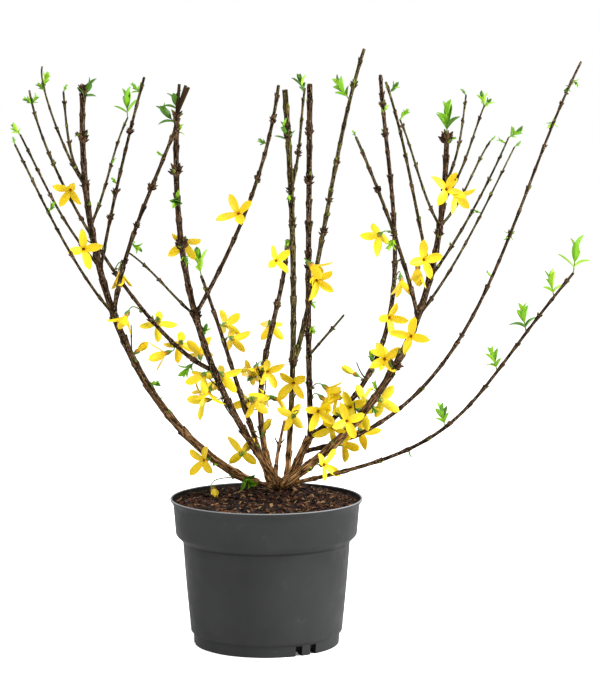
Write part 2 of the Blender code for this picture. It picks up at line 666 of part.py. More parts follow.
def cut_flat(obj, height):
    """Cuts away what is below the height and closes the cut."""
    bm = bmesh.new()
    bm.from_mesh(obj.data)
    geometry = bm.verts[:] + bm.edges[:] + bm.faces[:]
    bmesh.ops.bisect_plane(bm, geom=geometry, plane_co=(0, 0, height), plane_no=(0, 0, 1), clear_inner=True)
    bmesh.ops.remove_doubles(bm, verts=bm.verts, dist=WELD)
    rim = [edge for edge in bm.edges if edge.is_boundary]
    bmesh.ops.holes_fill(bm, edges=rim)
    bm.to_mesh(obj.data)
    bm.free()


def pot_outer(height):
    """Outer radius of the pot's body under its band."""
    share = height / BODY_TOP
    return BODY_FOOT_RADIUS + (BODY_TOP_RADIUS - BODY_FOOT_RADIUS) * share + 0.0006 * sin(pi * share)


def pot_inner(height):
    """Inner radius of the pot at a height."""
    if height > BAND_FOOT:
        share = (height - BAND_FOOT) / (POT_HEIGHT - BAND_FOOT)
        return BAND_FOOT_RADIUS + (BAND_TOP_RADIUS - BAND_FOOT_RADIUS) * share - POT_WALL
    if height > BODY_TOP:
        share = (height - BODY_TOP) / (BAND_FOOT - BODY_TOP)
        return BODY_TOP_RADIUS + (BAND_FOOT_RADIUS - BODY_TOP_RADIUS) * share - POT_WALL
    if height > FOOT_HEIGHT:
        return pot_outer(height) - POT_WALL
    return FOOT_RADIUS + FOOT_DRAFT * height / FOOT_HEIGHT - POT_WALL


def build_pot():
    """Thin-walled pot with a rolled lip, a band, a tapering body and drain slots cut into its foot."""
    profile = [(0, 0), (FOOT_RADIUS, 0), (FOOT_RADIUS + FOOT_DRAFT, FOOT_HEIGHT)]
    profile += [(pot_outer(h), h) for h in (FOOT_HEIGHT + FOOT_DRAFT, POT_MIDDLE, BODY_TOP)]
    profile += [(BAND_FOOT_RADIUS, BAND_FOOT), (BAND_TOP_RADIUS, POT_HEIGHT - LIP_DEPTH - LIP_ROUND),
                (RIM_RADIUS, POT_HEIGHT - LIP_DEPTH), (RIM_RADIUS, POT_HEIGHT - LIP_ROUND),
                (RIM_RADIUS - LIP_ROUND, POT_HEIGHT), (pot_inner(POT_HEIGHT), POT_HEIGHT)]
    profile += [(pot_inner(h), h) for h in (*INNER_HEIGHTS, POT_FLOOR)]
    profile += [(0, POT_FLOOR)]
    bm = bmesh.new()
    verts = [bm.verts.new((r, 0, z)) for r, z in profile]
    edges = [bm.edges.new(pair) for pair in zip(verts, verts[1:])]
    bmesh.ops.spin(bm, geom=verts + edges, axis=(0, 0, 1), cent=(0, 0, 0), steps=POT_SEGMENTS,
                   angle=2 * pi, use_merge=True)
    bmesh.ops.remove_doubles(bm, verts=bm.verts, dist=WELD)
    pot = mesh_object("pot", bm, POT_PLASTIC)
    slots = bpy.data.collections.new("drain_slots")
    bpy.context.scene.collection.children.link(slots)
    for group in range(DRAIN_GROUPS):
        for side in (-1, 1):
            angle = DRAIN_FIRST_ANGLE + group * 360 / DRAIN_GROUPS + side * DRAIN_HALF_SPREAD
            cutter = bmesh.new()
            bmesh.ops.create_cube(cutter, size=1)
            size = Matrix.Diagonal((DRAIN_REACH, DRAIN_WIDTH, DRAIN_HEIGHT * 2, 1))
            turn = Matrix.Rotation(radians(angle), 4, "Z")
            place = turn @ Matrix.Translation((FOOT_RADIUS, 0, 0)) @ size
            bmesh.ops.transform(cutter, matrix=place, verts=cutter.verts)
            slot = mesh_object("drain_slot", cutter, POT_PLASTIC)
            bpy.context.scene.collection.objects.unlink(slot)
            slots.objects.link(slot)
            slot.hide_render = True
            slot.display_type = "WIRE"
    cut = pot.modifiers.new("Drain slots", "BOOLEAN")
    cut.operation = "DIFFERENCE"
    cut.operand_type = "COLLECTION"
    cut.collection = slots
    pot.data.shade_smooth()
    pot.data.set_sharp_from_angle(angle=radians(30))
    return pot


def build_mix():
    """Potting mix that fills the pot, with a low mound under the root crown."""
    floor = POT_FLOOR + GAP
    bm = bmesh.new()
    edge = pot_inner(SOIL_LEVEL) - 2 * GAP
    profile = [(edge * ring / SOIL_RINGS, SOIL_LEVEL) for ring in range(SOIL_RINGS + 1)]
    for height in (*INNER_HEIGHTS, floor):
        profile.append((pot_inner(height) - 2 * GAP, height))
    profile.append((0, floor))
    verts = [bm.verts.new((r, 0, z)) for r, z in profile]
    edges = [bm.edges.new(pair) for pair in zip(verts, verts[1:])]
    bmesh.ops.spin(bm, geom=verts + edges, axis=(0, 0, 1), cent=(0, 0, 0), steps=POT_SEGMENTS,
                   angle=2 * pi, use_merge=True)
    bmesh.ops.remove_doubles(bm, verts=bm.verts, dist=WELD)
    for vert in bm.verts:
        if vert.co.z < SOIL_LEVEL - 0.0001:
            continue
        away = (Vector(vert.co.xy) - Vector(CROWN_CENTRE)).length
        share = (MOUND_FOOT_RADIUS - away) / (MOUND_FOOT_RADIUS - MOUND_TOP_RADIUS)
        share = min(max(share, 0), 1)
        vert.co.z += MOUND_HEIGHT * share * share * (3 - 2 * share)
    mix = mesh_object("potting_mix", bm, MIX)
    mix.data.shade_smooth()
    mix.data.set_sharp_from_angle(angle=radians(40))
    return mix


def build_plant():
    plant = Plant()
    add_wood(plant)
    add_crown(plant)
    add_knobs(plant)
    add_blossoms(plant)
    add_shoots(plant)
    for node, pieces in plant.pieces.items():
        obj = fuse(node, pieces)
        if node == "root_crown":
            cut_flat(obj, crown_foot())


def main():
    remove_everything()
    build_pot()
    build_mix()
    build_plant()


main()
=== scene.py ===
"""Looks of the forsythia shrub in its nursery pot: moulded pot, bark mix with its chips, ridged root crown
and boughs, thin twigs with their buds, yellow blossom and young leaves, on a pale studio floor.

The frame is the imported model. The origin is the centre of the pot's underside, +Z is up and -Y is the
front. The limbs grow by the same rule and on the same lines as the solids they replace.
"""

from collections import namedtuple
from math import cos, exp, pi, radians, sin

import bmesh
import bpy
import numpy as np
from bpy.props import FloatProperty, FloatVectorProperty, IntProperty, PointerProperty
from mathutils import Matrix, Vector, noise


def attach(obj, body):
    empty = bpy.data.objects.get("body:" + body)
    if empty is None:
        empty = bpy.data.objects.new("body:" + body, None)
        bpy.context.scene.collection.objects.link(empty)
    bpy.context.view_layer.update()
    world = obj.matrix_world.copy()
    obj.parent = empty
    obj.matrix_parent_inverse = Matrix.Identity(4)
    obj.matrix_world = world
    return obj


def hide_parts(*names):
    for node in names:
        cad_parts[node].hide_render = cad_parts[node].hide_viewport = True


bl_info = {
    "name": "Potted forsythia shrub",
    "version": (1, 0, 0),
    "blender": (4, 5, 0),
    "location": "3D View > Sidebar > Shrub",
    "description": "Builds a flowering shrub with bare arching boughs in a round nursery pot",
    "category": "Add Mesh",
}

MM = 0.001
GOLDEN_ANGLE = 2.4  # radians from one to the next where many stand round an axis

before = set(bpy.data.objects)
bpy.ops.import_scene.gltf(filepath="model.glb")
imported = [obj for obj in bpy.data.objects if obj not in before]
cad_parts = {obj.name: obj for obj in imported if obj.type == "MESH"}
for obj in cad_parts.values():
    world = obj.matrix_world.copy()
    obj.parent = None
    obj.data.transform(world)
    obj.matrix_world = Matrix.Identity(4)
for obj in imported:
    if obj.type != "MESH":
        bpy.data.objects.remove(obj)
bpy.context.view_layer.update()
NODES = sorted(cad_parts)
BOUGH_NODES = [name for name in NODES if name.endswith("_bough")]
TOP_NODES = [name for name in NODES if name.endswith("_top")]

# Pot: a three litre nursery container. Radii and heights, in metres
POT_HEIGHT = 0.1446
POT_WALL = 0.0020
POT_FLOOR = 0.0050
RIM_RADIUS = 0.0950
LIP_ROUND = 0.0015
BAND_TOP_RADIUS = 0.0915
BAND_FOOT_RADIUS = 0.0895
BAND_FOOT = 0.1090
BODY_TOP_RADIUS = 0.0826
BODY_TOP = 0.1020
BODY_FOOT_RADIUS = 0.0735
FOOT_RADIUS = 0.0717
FOOT_HEIGHT = 0.0120
FOOT_DRAFT = 0.0008
DRAIN_WIDTH = 0.0070
DRAIN_HEIGHT = 0.0100
DRAIN_REACH = 0.0200
DRAIN_GROUPS = 3
DRAIN_FIRST_ANGLE = -57.0  # degrees from +X
DRAIN_HALF_SPREAD = 6.5
UNDERSIDE_RECESS = 0.0020
STANDING_RING = 0.0080  # width of the ring that the pot stands on
BODY_BULGE = 0.0006
BODY_RINGS = (0.034, 0.055, 0.078)  # heights at which the bulge is followed
BODY_MIDDLE_RADIUS = 0.0796  # what the mix allows for at the middle ring
LIP_EDGE = 0.0006

# Potting mix and root crown
SOIL_LEVEL = 0.1408
MOUND_HEIGHT = 0.0067
MOUND_TOP_RADIUS = 0.0290
MOUND_FOOT_RADIUS = 0.0620
HEAP_HEIGHT = 0.0060  # loose mix drawn up round the stems
HEAP_REACH = 0.0230
STAIN_TOP = SOIL_LEVEL + MOUND_HEIGHT + 0.0150  # peat clings to the wood up to here
STAIN_DEPTH = 0.0130
BED_CLEARANCE = 0.0008  # how far the mix stays inside its solid
BED_OVERLAP = 0.0012  # how far the mix's own surface runs into the wall
CHIP_OVERLAP = 0.0004
LONGEST_CHIP = 0.0085
STRAWS = 260
CROWN_CENTRE = (0.0100, 0.0200)
DOME_RADIUS = 0.0129
CROWN_HEIGHT = 0.0105
CROWN_REACH = 0.0260  # how far up each stem the crown's own wood follows it

# The limbs, on the solids' own lines and each as thick as it shows, in millimetres. A limb leaves its carrier
# at a share of the carrier's length, first along lead, and reaches its tip along swing. A stem of the crown
# has no carrier, and the place of its foot stands for that share.
Limb = namedtuple("Limb", "carrier at lead swing tip foot_radius tip_radius")
LIMBS = {
    "left_arch": Limb(None, (-9, 30, 152), (-135, 5, 60), (10, 5, 155), (-181, 45, 548), 4.5, 2.6),
    "left_inner": Limb(None, (13, 10, 156), (-80, -55, 115), (10, -60, 135), (-78, -150, 522), 3.7, 2.4),
    "left_thin": Limb(None, (3, 34, 155), (-25, 15, 65), (-25, 15, 65), (-67, 80, 358), 3.0, 1.6),
    "back": Limb(None, (6, 42, 157), (-35, 60, 90), (5, 55, 85), (20, 190, 388), 3.4, 2.1),
    "centre": Limb(None, (20, 32, 159), (10, 10, 125), (-10, 10, 130), (18, 60, 545), 2.8, 2.85),
    "fork": Limb(None, (21, 22, 158), (10, -5, 15), (10, -5, 15), (44, 0, 206), 4.6, 3.4),
    "right": Limb(None, (18, 2, 158), (125, -25, 90), (0, -25, 135), (171, -70, 501), 4.6, 2.4),
    "low_right": Limb(None, (26, 4, 158), (175, -80, 50), (100, -80, 140), (282, -150, 377), 2.2, 1.25),
    "pale_stub": Limb(None, (9, -2, 159), (0, -10, 25), (5, -10, 25), (18, -30, 225), 2.4, 1.1),
    "centre_front": Limb("fork", 1.00, (-5, -40, 115), (0, -40, 115), (42, -120, 548), 2.8, 2.55),
    "right_back": Limb("fork", 1.00, (125, 60, 75), (-5, 55, 125), (117, 170, 561), 2.7, 1.95),
    "far_right": Limb("fork", 0.65, (180, 35, 25), (80, 40, 150), (320, 120, 574), 2.3, 1.2),
    "long_left": Limb("left_inner", 0.35, (-60, 65, 10), (-20, 40, 95), (-247, 150, 545), 2.4, 1.1),
    "inner_front": Limb("left_inner", 0.50, (40, -35, 70), (10, -40, 75), (14, -190, 546), 2.1, 1.5),
    "inner_twig": Limb("left_inner", 0.50, (-15, -5, 10), (-20, -15, 15), (-124, -120, 393), 1.45, 0.9),
    "centre_back": Limb("centre", 0.29, (30, 55, 90), (35, 55, 105), (101, 210, 589), 2.8, 1.8),
    "centre_twig": Limb("centre", 0.74, (10, 15, 35), (5, 15, 35), (38, 100, 547), 1.8, 1.1),
    "front_twig": Limb("centre_front", 0.24, (10, -25, 15), (10, -25, 15), (74, -100, 334), 1.5, 1.0),
    "arch_front_twig": Limb("left_arch", 0.50, (-35, -35, 45), (-20, -50, 55), (-230, -110, 493), 1.6, 1.0),
    "arch_low_twig": Limb("left_arch", 0.61, (-35, -15, 40), (-20, -20, 45), (-236, -20, 501), 1.5, 1.0),
    "arch_back_twig": Limb("left_arch", 0.79, (-10, 0, 5), (5, 10, 20), (-230, 120, 569), 1.5, 0.9),
    "arch_top_twig": Limb("left_arch", 0.80, (-15, -10, 10), (0, -20, 25), (-193, -30, 542), 1.6, 1.0),
    "arch_inner_back": Limb("left_arch", 0.70, (15, 30, 35), (15, 30, 35), (-144, 130, 517), 1.6, 0.95),
    "arch_inner_front": Limb("left_arch", 0.60, (15, -35, 65), (20, -40, 60), (-113, -70, 555), 1.8, 1.3),
    "arch_inner_long": Limb("left_arch", 0.50, (10, -15, 70), (25, -15, 65), (-84, 0, 517), 2.4, 1.6),
    "right_front_twig": Limb("right", 0.55, (-15, -35, 60), (-25, -35, 55), (84, -140, 500), 2.2, 1.3),
    "right_top_twig": Limb("right", 0.66, (-15, 20, 60), (-20, 20, 60), (117, 20, 552), 1.8, 1.2),
    "right_nose_twig": Limb("right", 0.78, (-20, -35, 30), (-15, -35, 30), (123, -160, 516), 1.45, 0.85),
    "right_back_twig": Limb("right", 0.88, (15, 15, 25), (5, 20, 30), (194, 0, 539), 1.45, 0.85),
    "right_fork_twig": Limb("right", 0.84, (20, -20, 30), (10, -25, 30), (201, -130, 528), 1.4, 0.8),
    "right_side_twig": Limb("right", 0.78, (25, 35, 20), (20, 35, 25), (222, 50, 494), 1.4, 0.9),
    "right_outer_front": Limb("right", 0.65, (25, -40, 40), (15, -45, 45), (220, -170, 500), 1.6, 0.8),
    "right_outer_back": Limb("right", 0.55, (40, 35, 45), (30, 30, 55), (247, 60, 488), 1.6, 0.8),
}
BOUGHS = ("left_arch", "left_inner", "left_thin", "back", "centre", "fork", "right", "low_right",
          "far_right", "right_back", "pale_stub", "centre_front", "centre_back", "long_left")

# Blossom, by limb. A row is a share of the limb's length, the heading and rise of the way to the throat,
# the heading and rise that the flower faces, the turn of its petals and how far they open, in degrees:
# heading 0 is +X, 90 is +Y and away from the front. Some rows add how far the throat is from the wood, in
# millimetres.
Bloom = namedtuple("Bloom", "at heading rise face tilt roll opening reach", defaults=(13.5,))
BLOSSOMS = {
    "left_arch": ((0.045, -160, -24, -75, -25, 0, 10, 30), (0.13, -100, -20, -130, 0, 55, 68),
                  (0.41, 0, 15, -10, 40, 0, 8, 9)),
    "arch_low_twig": ((0.14, -90, 5, -70, 5, 10, 68),),
    "long_left": ((0.08, 60, 10, 100, 40, 40, 55), (0.14, 80, 10, 100, -30, 10, 68),
                  (0.17, 200, -70, 170, -20, 0, 55), (0.24, 75, 0, 90, -45, 0, 66),
                  (0.28, 175, -10, -150, -60, 20, 38, 19),
                  (0.43, -55, 0, -90, -80, 0, 26), (0.70, -60, 0, -110, -30, 50, 55)),
    "left_inner": ((0.13, 180, -40, 80, 12, 45, 68), (0.27, 180, -5, -150, 0, 0, 55, 20),
                   (0.29, 180, 0, 160, -70, 10, 68), (0.34, 60, -10, 60, -30, 45, 55),
                   (0.33, 190, 10, 120, -30, 80, 55), (0.68, 80, 10, -95, -40, 30, 68)),
    "inner_front": ((0.46, -110, 10, -110, 30, 30, 68),),
    "left_thin": ((0.25, -20, 0, 0, 65, 0, 14), (0.37, -40, 20, 60, -50, 20, 50),
                  (0.47, -150, 0, -150, 20, 30, 42), (0.76, 60, -5, 60, 0, 50, 55),
                  (0.68, 50, 5, 65, -20, 50, 55)),
    "back": ((0.31, -150, 10, -130, -10, 20, 55), (0.35, -50, -20, 150, -20, 30, 55),
             (0.33, -15, -5, -5, -10, 40, 55, 17),
             (0.47, -140, -20, -150, -50, 60, 55), (0.43, 180, -20, 60, 30, 70, 55),
             (0.45, -75, -10, -50, -10, 30, 62), (0.63, 100, 0, 80, -40, 40, 55),
             (0.90, -140, 10, -60, 20, 30, 68)),
    "centre": ((0.17, -80, -10, 110, -20, 40, 60), (0.25, -85, 0, -95, -20, 40, 68)),
    "centre_front": ((0.08, -55, 0, -80, -20, 60, 58), (0.11, -15, 5, 0, -40, 20, 55),
                     (0.14, -5, 5, 0, -35, 60, 55, 17), (0.46, -55, 5, -65, -20, 60, 58),
                     (0.51, -80, -5, -10, -45, 0, 46)),
    "right_back": ((0.05, -70, -10, -110, -30, 10, 58), (0.08, -60, -5, 0, -40, 35, 55),
                   (0.12, -150, 30, -140, 0, 30, 60), (0.13, -90, -20, -100, 10, 20, 60),
                   (0.15, -40, -20, 140, 20, 60, 68), (0.19, 180, 40, 180, 30, 0, 16),
                   (0.27, -25, -5, 140, -25, 40, 55), (0.37, -95, 0, -60, -10, 85, 60),
                   (0.46, -60, 10, -60, -75, 0, 38)),
    "right": ((0.11, -70, -25, -45, 5, 50, 66), (0.18, 75, -30, 40, -5, 10, 66),
              (0.22, -110, 35, -80, 10, 20, 62), (0.27, 100, 0, 40, -25, 60, 66),
              (0.32, 60, -20, 65, -20, 25, 62), (0.42, 150, 15, -80, 15, 30, 66),
              (0.50, -90, 0, -110, 10, 80, 68), (0.67, 180, 5, -100, -80, 0, 32),
              (0.87, -85, 0, -75, 22, 56, 68), (0.85, -20, 15, -55, -40, 55, 56)),
    "far_right": ((0.12, 90, 0, 65, -30, 70, 62),),
    "right_top_twig": ((0.07, -110, 5, -70, 5, 10, 68),),
    "right_front_twig": ((0.48, 180, -15, 115, -25, 5, 62),),
}
# Young shoots, by limb: share, heading, rise and length in millimetres
SHOOTS = {
    "left_arch": ((0.04, -55, -14, 24), (0.12, -20, -60, 14), (0.28, 150, 60, 14), (0.33, -10, 10, 16),
                  (0.97, -10, 65, 24), (0.90, 180, -20, 9)),
    "arch_front_twig": ((0.62, 0, 60, 14), (1.0, 120, 60, 9)),
    "arch_low_twig": ((1.0, 170, 50, 16),),
    "arch_back_twig": ((0.80, 180, 50, 14), (0.84, -20, 70, 18)),
    "arch_top_twig": ((1.0, -20, 60, 9),),
    "arch_inner_back": ((1.0, -100, 80, 32), (0.55, 10, 60, 10)),
    "arch_inner_front": ((0.92, 180, 50, 14), (0.45, 180, 50, 10)),
    "arch_inner_long": ((0.36, -20, -30, 16), (0.80, 170, 40, 10)),
    "long_left": ((0.96, 175, 40, 14), (0.96, -10, 60, 14), (0.07, 180, -45, 22)),
    "left_inner": ((0.44, -10, 70, 16), (0.66, -20, -65, 15), (0.80, -90, -20, 20), (0.97, 165, 50, 26),
                   (1.0, 130, 75, 22), (0.95, 0, 60, 12)),
    "left_thin": ((1.0, 130, 75, 30), (0.20, -70, -60, 12)),
    "inner_front": ((0.77, 165, 20, 12),),
    "centre": ((0.86, 185, 76, 26), (0.74, -120, -60, 14), (0.62, 180, -50, 14)),
    "centre_twig": ((0.94, 170, 75, 24),),
    "centre_back": ((0.83, 170, 55, 30), (0.20, 20, -50, 12)),
    "centre_front": ((0.14, 170, 60, 10), (0.33, 0, -50, 12)),
    "right_back": ((0.24, 175, 75, 16), (0.90, 0, 60, 10)),
    "far_right": ((0.63, 170, -60, 14), (0.87, 180, -55, 14), (0.95, 180, -60, 12), (0.53, 160, 50, 10),
                  (0.96, -10, -50, 12)),
    "right": ((0.09, 200, -60, 14), (0.30, -20, -60, 14), (0.33, 150, 70, 16), (1.0, -80, 85, 34),
              (0.99, 0, 10, 10)),
    "right_front_twig": ((0.45, 190, -60, 16), (1.0, 150, 60, 8)),
    "right_top_twig": ((0.94, 10, 50, 16),),
    "right_nose_twig": ((1.0, 20, 50, 14),),
    "right_back_twig": ((1.0, 150, 50, 9),),
    "right_side_twig": ((1.0, 20, 40, 9),),
    "right_fork_twig": ((1.0, 120, 70, 18), (0.98, 0, 50, 14)),
    "right_outer_front": ((1.0, 20, 30, 18), (0.96, 170, 30, 10)),
    "right_outer_back": ((0.62, 170, 20, 10), (1.0, 10, 40, 10)),
    "low_right": ((0.46, 150, 75, 24), (0.67, 140, 70, 26), (0.80, 130, 75, 30), (0.92, 120, 70, 26),
                  (1.0, 60, 75, 34), (0.34, 0, -70, 10)),
}
# Joints where buds crowd: share of the limb's length, and half width in millimetres
KNOBS = {
    "left_arch": ((0.49, 4.5), (0.79, 5.0), (0.89, 7.5), (1.0, 6.0)),
    "left_inner": ((0.50, 5.5), (0.68, 7.0), (0.86, 7.0), (1.0, 5.5)),
    "centre": ((0.30, 5.0), (0.65, 4.2), (0.74, 4.5), (0.88, 4.2)),
    "centre_front": ((0.31, 4.5), (0.50, 4.5), (0.62, 4.2), (0.74, 5.4), (0.87, 4.8)),
    "centre_back": ((0.41, 5.2), (0.51, 4.0), (0.63, 4.4), (0.88, 5.0)),
    "centre_twig": ((0.36, 4.4),),
    "back": ((0.71, 4.5),),
    "right_back": ((0.27, 4.0), (0.84, 4.5), (0.92, 4.5)),
    "right": ((0.41, 6.5), (0.76, 4.5), (1.0, 7.5)),
    "far_right": ((0.40, 3.0), (0.93, 3.0)),
    "arch_inner_long": ((0.26, 4.0), (0.45, 3.8), (0.64, 5.5)),
    "arch_inner_front": ((0.28, 4.2), (0.41, 4.8), (0.72, 4.4)),
    "long_left": ((0.60, 3.5), (0.78, 3.5)),
    "inner_front": ((0.62, 4.0), (0.86, 3.8)),
    "right_front_twig": ((0.46, 3.6), (0.71, 5.2)),
}
CUT_STUBS = ((20, 85), (0, 72), (-30, 61))  # heading and rise of the pruned stubs on the inner left stem
CUT_STUB_LENGTH = 0.026
CUT_STUB_RADII = (0.0018, 0.0014)
# Fine side twigs near the foot: limb, share, heading, rise and length in millimetres
SPURS = (
    ("left_inner", 0.20, 165, 30, 32), ("left_thin", 0.36, -10, -35, 14), ("back", 0.42, 160, 40, 16),
    ("centre_front", 0.31, 180, -60, 9), ("right_front_twig", 0.33, 160, -45, 12),
    ("right", 0.66, 40, 60, 22), ("long_left", 0.52, 180, 5, 17), ("left_arch", 0.40, 100, 75, 32),
    ("pale_stub", 0.62, 190, 35, 9), ("pale_stub", 0.64, -10, 20, 7), ("right_back", 0.20, 165, 35, 20),
    ("right", 0.25, -150, 55, 18), ("back", 0.30, 0, 60, 26), ("centre", 0.20, 10, 45, 20),
    ("left_thin", 0.30, 170, 45, 26), ("left_inner", 0.30, 175, 20, 24),
)
SPUR_RADII = (0.85, 0.55)  # millimetres
SPUR_LIFT = 35  # degrees that a spur's tip rises over its foot

# The limbs' relief
TAPER = 0.8  # power of the share of the length by which a limb grows thinner
FOOT_FLARE = 0.35  # how much thicker a limb is where it leaves its carrier
FLARE_REACH = 1.1  # against the radius of the foot
RIDGES = ((3, 0.055, 0.35), (5, 0.040, 0.30), (8, 0.022, 0.22), (11, 0.013, 0.13))  # number, pitch, weight
YOUNG_RIDGES, OLD_RIDGES = 0.035, 0.12
LUMPS = ((0.019, 0.5), (0.0083, 0.3))  # pitch, weight
LUMP_DEPTH = 0.03
JOINT_RING = (0.0016, 0.00018, 0.16)  # half length, and height as a length plus a share of the radius
JOINT_SHOULDER = (0.0030, 0.00025, 0.14)
JOINT_MARGIN = 0.0040  # no joint stands nearer to the tip
JOINT_CROWDING = 0.35  # how much closer the joints stand at the tip
FOOT_CLOSING = (0, 0.85)  # radius of the first rings, against the limb's own
TIP_CLOSING = (0.97, 0.80, 0)
FOOT_STEP = 0.0006  # how far up the limb its foot is closed
CENTRE_LINE_STEPS = 240

# The bark's ages
OLD_LIMBS = ("fork", "pale_stub")
OLD_REACH = {True: 0.105, False: 0.055}  # how far old bark climbs a thick stem and a thin one
THICK_STEM = 4  # millimetres
CROWN_SHOULDER = 4  # millimetres of a stem's foot before its flare falls off
GREEN_UNDER = 1.9  # radius in millimetres under which the bark turns green, wholly so 1.1 thinner
GREEN_SPAN = 1.1
GREEN_LIMBS = ("centre", "centre_back", "centre_twig")
BROWN_LIMBS = ("far_right", "low_right")
WORN_BARK = (0.105, 0.062, 0.034)
OLIVE_FURROW = (0.010, 0.009, 0.003)
LENTICEL = (0.24, 0.165, 0.105)

# Stage
LAMPS = (("key_light", 1.15, 0.9, (2.05, -0.35, 1.2)), ("front_light", 0.85, 0.9, (-0.4, -1.6, 2.8)),
         ("edge_light", 0.15, 0.8, (-1.3, 1.7, 0.9)))  # name, share of the key's power, size, place
LAMP_AIM = (0.03, 0, 0.30)
CAMERA_PLACE = (0.0331, -2.2, 0.522)
FLOOR_RADIUS = 14


def tint(name, description, colour):
    """A colour of the settings."""
    return FloatVectorProperty(name=name, description=description, default=colour, subtype="COLOR",
                               min=0, max=1)


class PotSettings(bpy.types.PropertyGroup):
    """Sizes and colour of the pot and its filling."""

    steps: IntProperty(name="Steps", description="Facets round the pot", default=144, min=24)
    colour: tint("Plastic", "Base colour of the moulded plastic", (0.0185, 0.0188, 0.0192))
    # painted highlight: the pale colour laid along the top of the lip
    lip_highlight_colour: tint("Lip highlight", "Painted highlight along the lip's top", (0.150, 0.153, 0.157))
    soil_colour: tint("Peat", "Colour between the chips", (0.016, 0.009, 0.006))
    chips: IntProperty(name="Chips", description="Number of bark chips on the mix", default=3500, min=0)
    chip_size: FloatProperty(name="Chip size", description="Length of a common chip", default=0.0034,
                             unit="LENGTH", min=0.001)


class WoodSettings(bpy.types.PropertyGroup):
    """Sizes and colours of the stems and twigs."""

    ring_spacing: FloatProperty(name="Ring spacing", description="Distance between rings of a limb",
                                default=0.0015, unit="LENGTH", min=0.0005)
    bough_sides: IntProperty(name="Bough sides", description="Sides of a bough", default=20, min=8)
    twig_sides: IntProperty(name="Twig sides", description="Sides of a twig", default=12, min=6)
    joint_spacing: FloatProperty(name="Joint spacing", description="Distance between pairs of buds",
                                 default=0.034, unit="LENGTH", min=0.01)
    old_colour: tint("Old bark", "Ridged bark near the root crown", (0.460, 0.235, 0.085))
    bark_colour: tint("Bark", "Bark of the boughs", (0.075, 0.043, 0.022))
    twig_colour: tint("Green twig", "Bark of the youngest twigs", (0.094, 0.106, 0.018))


class BlossomSettings(bpy.types.PropertyGroup):
    """Sizes and colours of the blossom."""

    petal_length: FloatProperty(name="Petal length", description="From the throat to the tip",
                                default=0.0205, unit="LENGTH", min=0.005)
    petal_width: FloatProperty(name="Petal width", description="At the widest place", default=0.0086,
                               unit="LENGTH", min=0.002)
    colour: tint("Petal", "Colour of most petals", (0.525, 0.388, 0.0025))
    throat_colour: tint("Throat", "Colour of the petals' feet", (0.42, 0.17, 0.004))


class ShootSettings(bpy.types.PropertyGroup):
    """Shape and colours of the young shoots."""

    leaf_width: FloatProperty(name="Leaf width", description="Width of a leaf against its length",
                              default=0.43, min=0.1, max=1)
    colour: tint("Leaf", "Colour of most young leaves", (0.115, 0.275, 0.006))


class StageSettings(bpy.types.PropertyGroup):
    """Floor, light and camera."""

    floor_colour: tint("Floor", "Colour of the studio floor", (0.93, 0.93, 0.925))
    ambient: FloatProperty(name="Ambient", description="Strength of the even light", default=1.0, min=0)
    floor_glow: FloatProperty(name="Floor glow", description="Light of the floor's own, against a horizon",
                              default=0.12, min=0)
    key: FloatProperty(name="Key light", description="Power of the main soft light", default=100.0,
                       unit="POWER", min=0)
    lens: FloatProperty(name="Lens", description="Focal length", default=116.02, subtype="DISTANCE_CAMERA",
                        min=10)
    tilt: FloatProperty(name="Camera tilt", description="How far the camera looks down",
                        default=radians(6), subtype="ANGLE")


def direction(heading, rise):
    """Unit vector from a heading and a rise in degrees."""
    flat = cos(radians(rise))
    return Vector((flat * cos(radians(heading)), flat * sin(radians(heading)), sin(radians(rise))))


def frame_along(axis):
    """Rotation that takes +Z to the axis."""
    return axis.to_track_quat("Z", "Y").to_matrix().to_4x4()


def laid(where, along, size=(1, 1, 1)):
    """Stretches a shape by the size, turns its +Z along a direction and carries it to a place."""
    return Matrix.Translation(where) @ frame_along(along) @ Matrix.Diagonal((*size, 1))


def shade(colour, by):
    """The colour, darker or lighter."""
    return tuple(min(1, c * by) for c in colour)


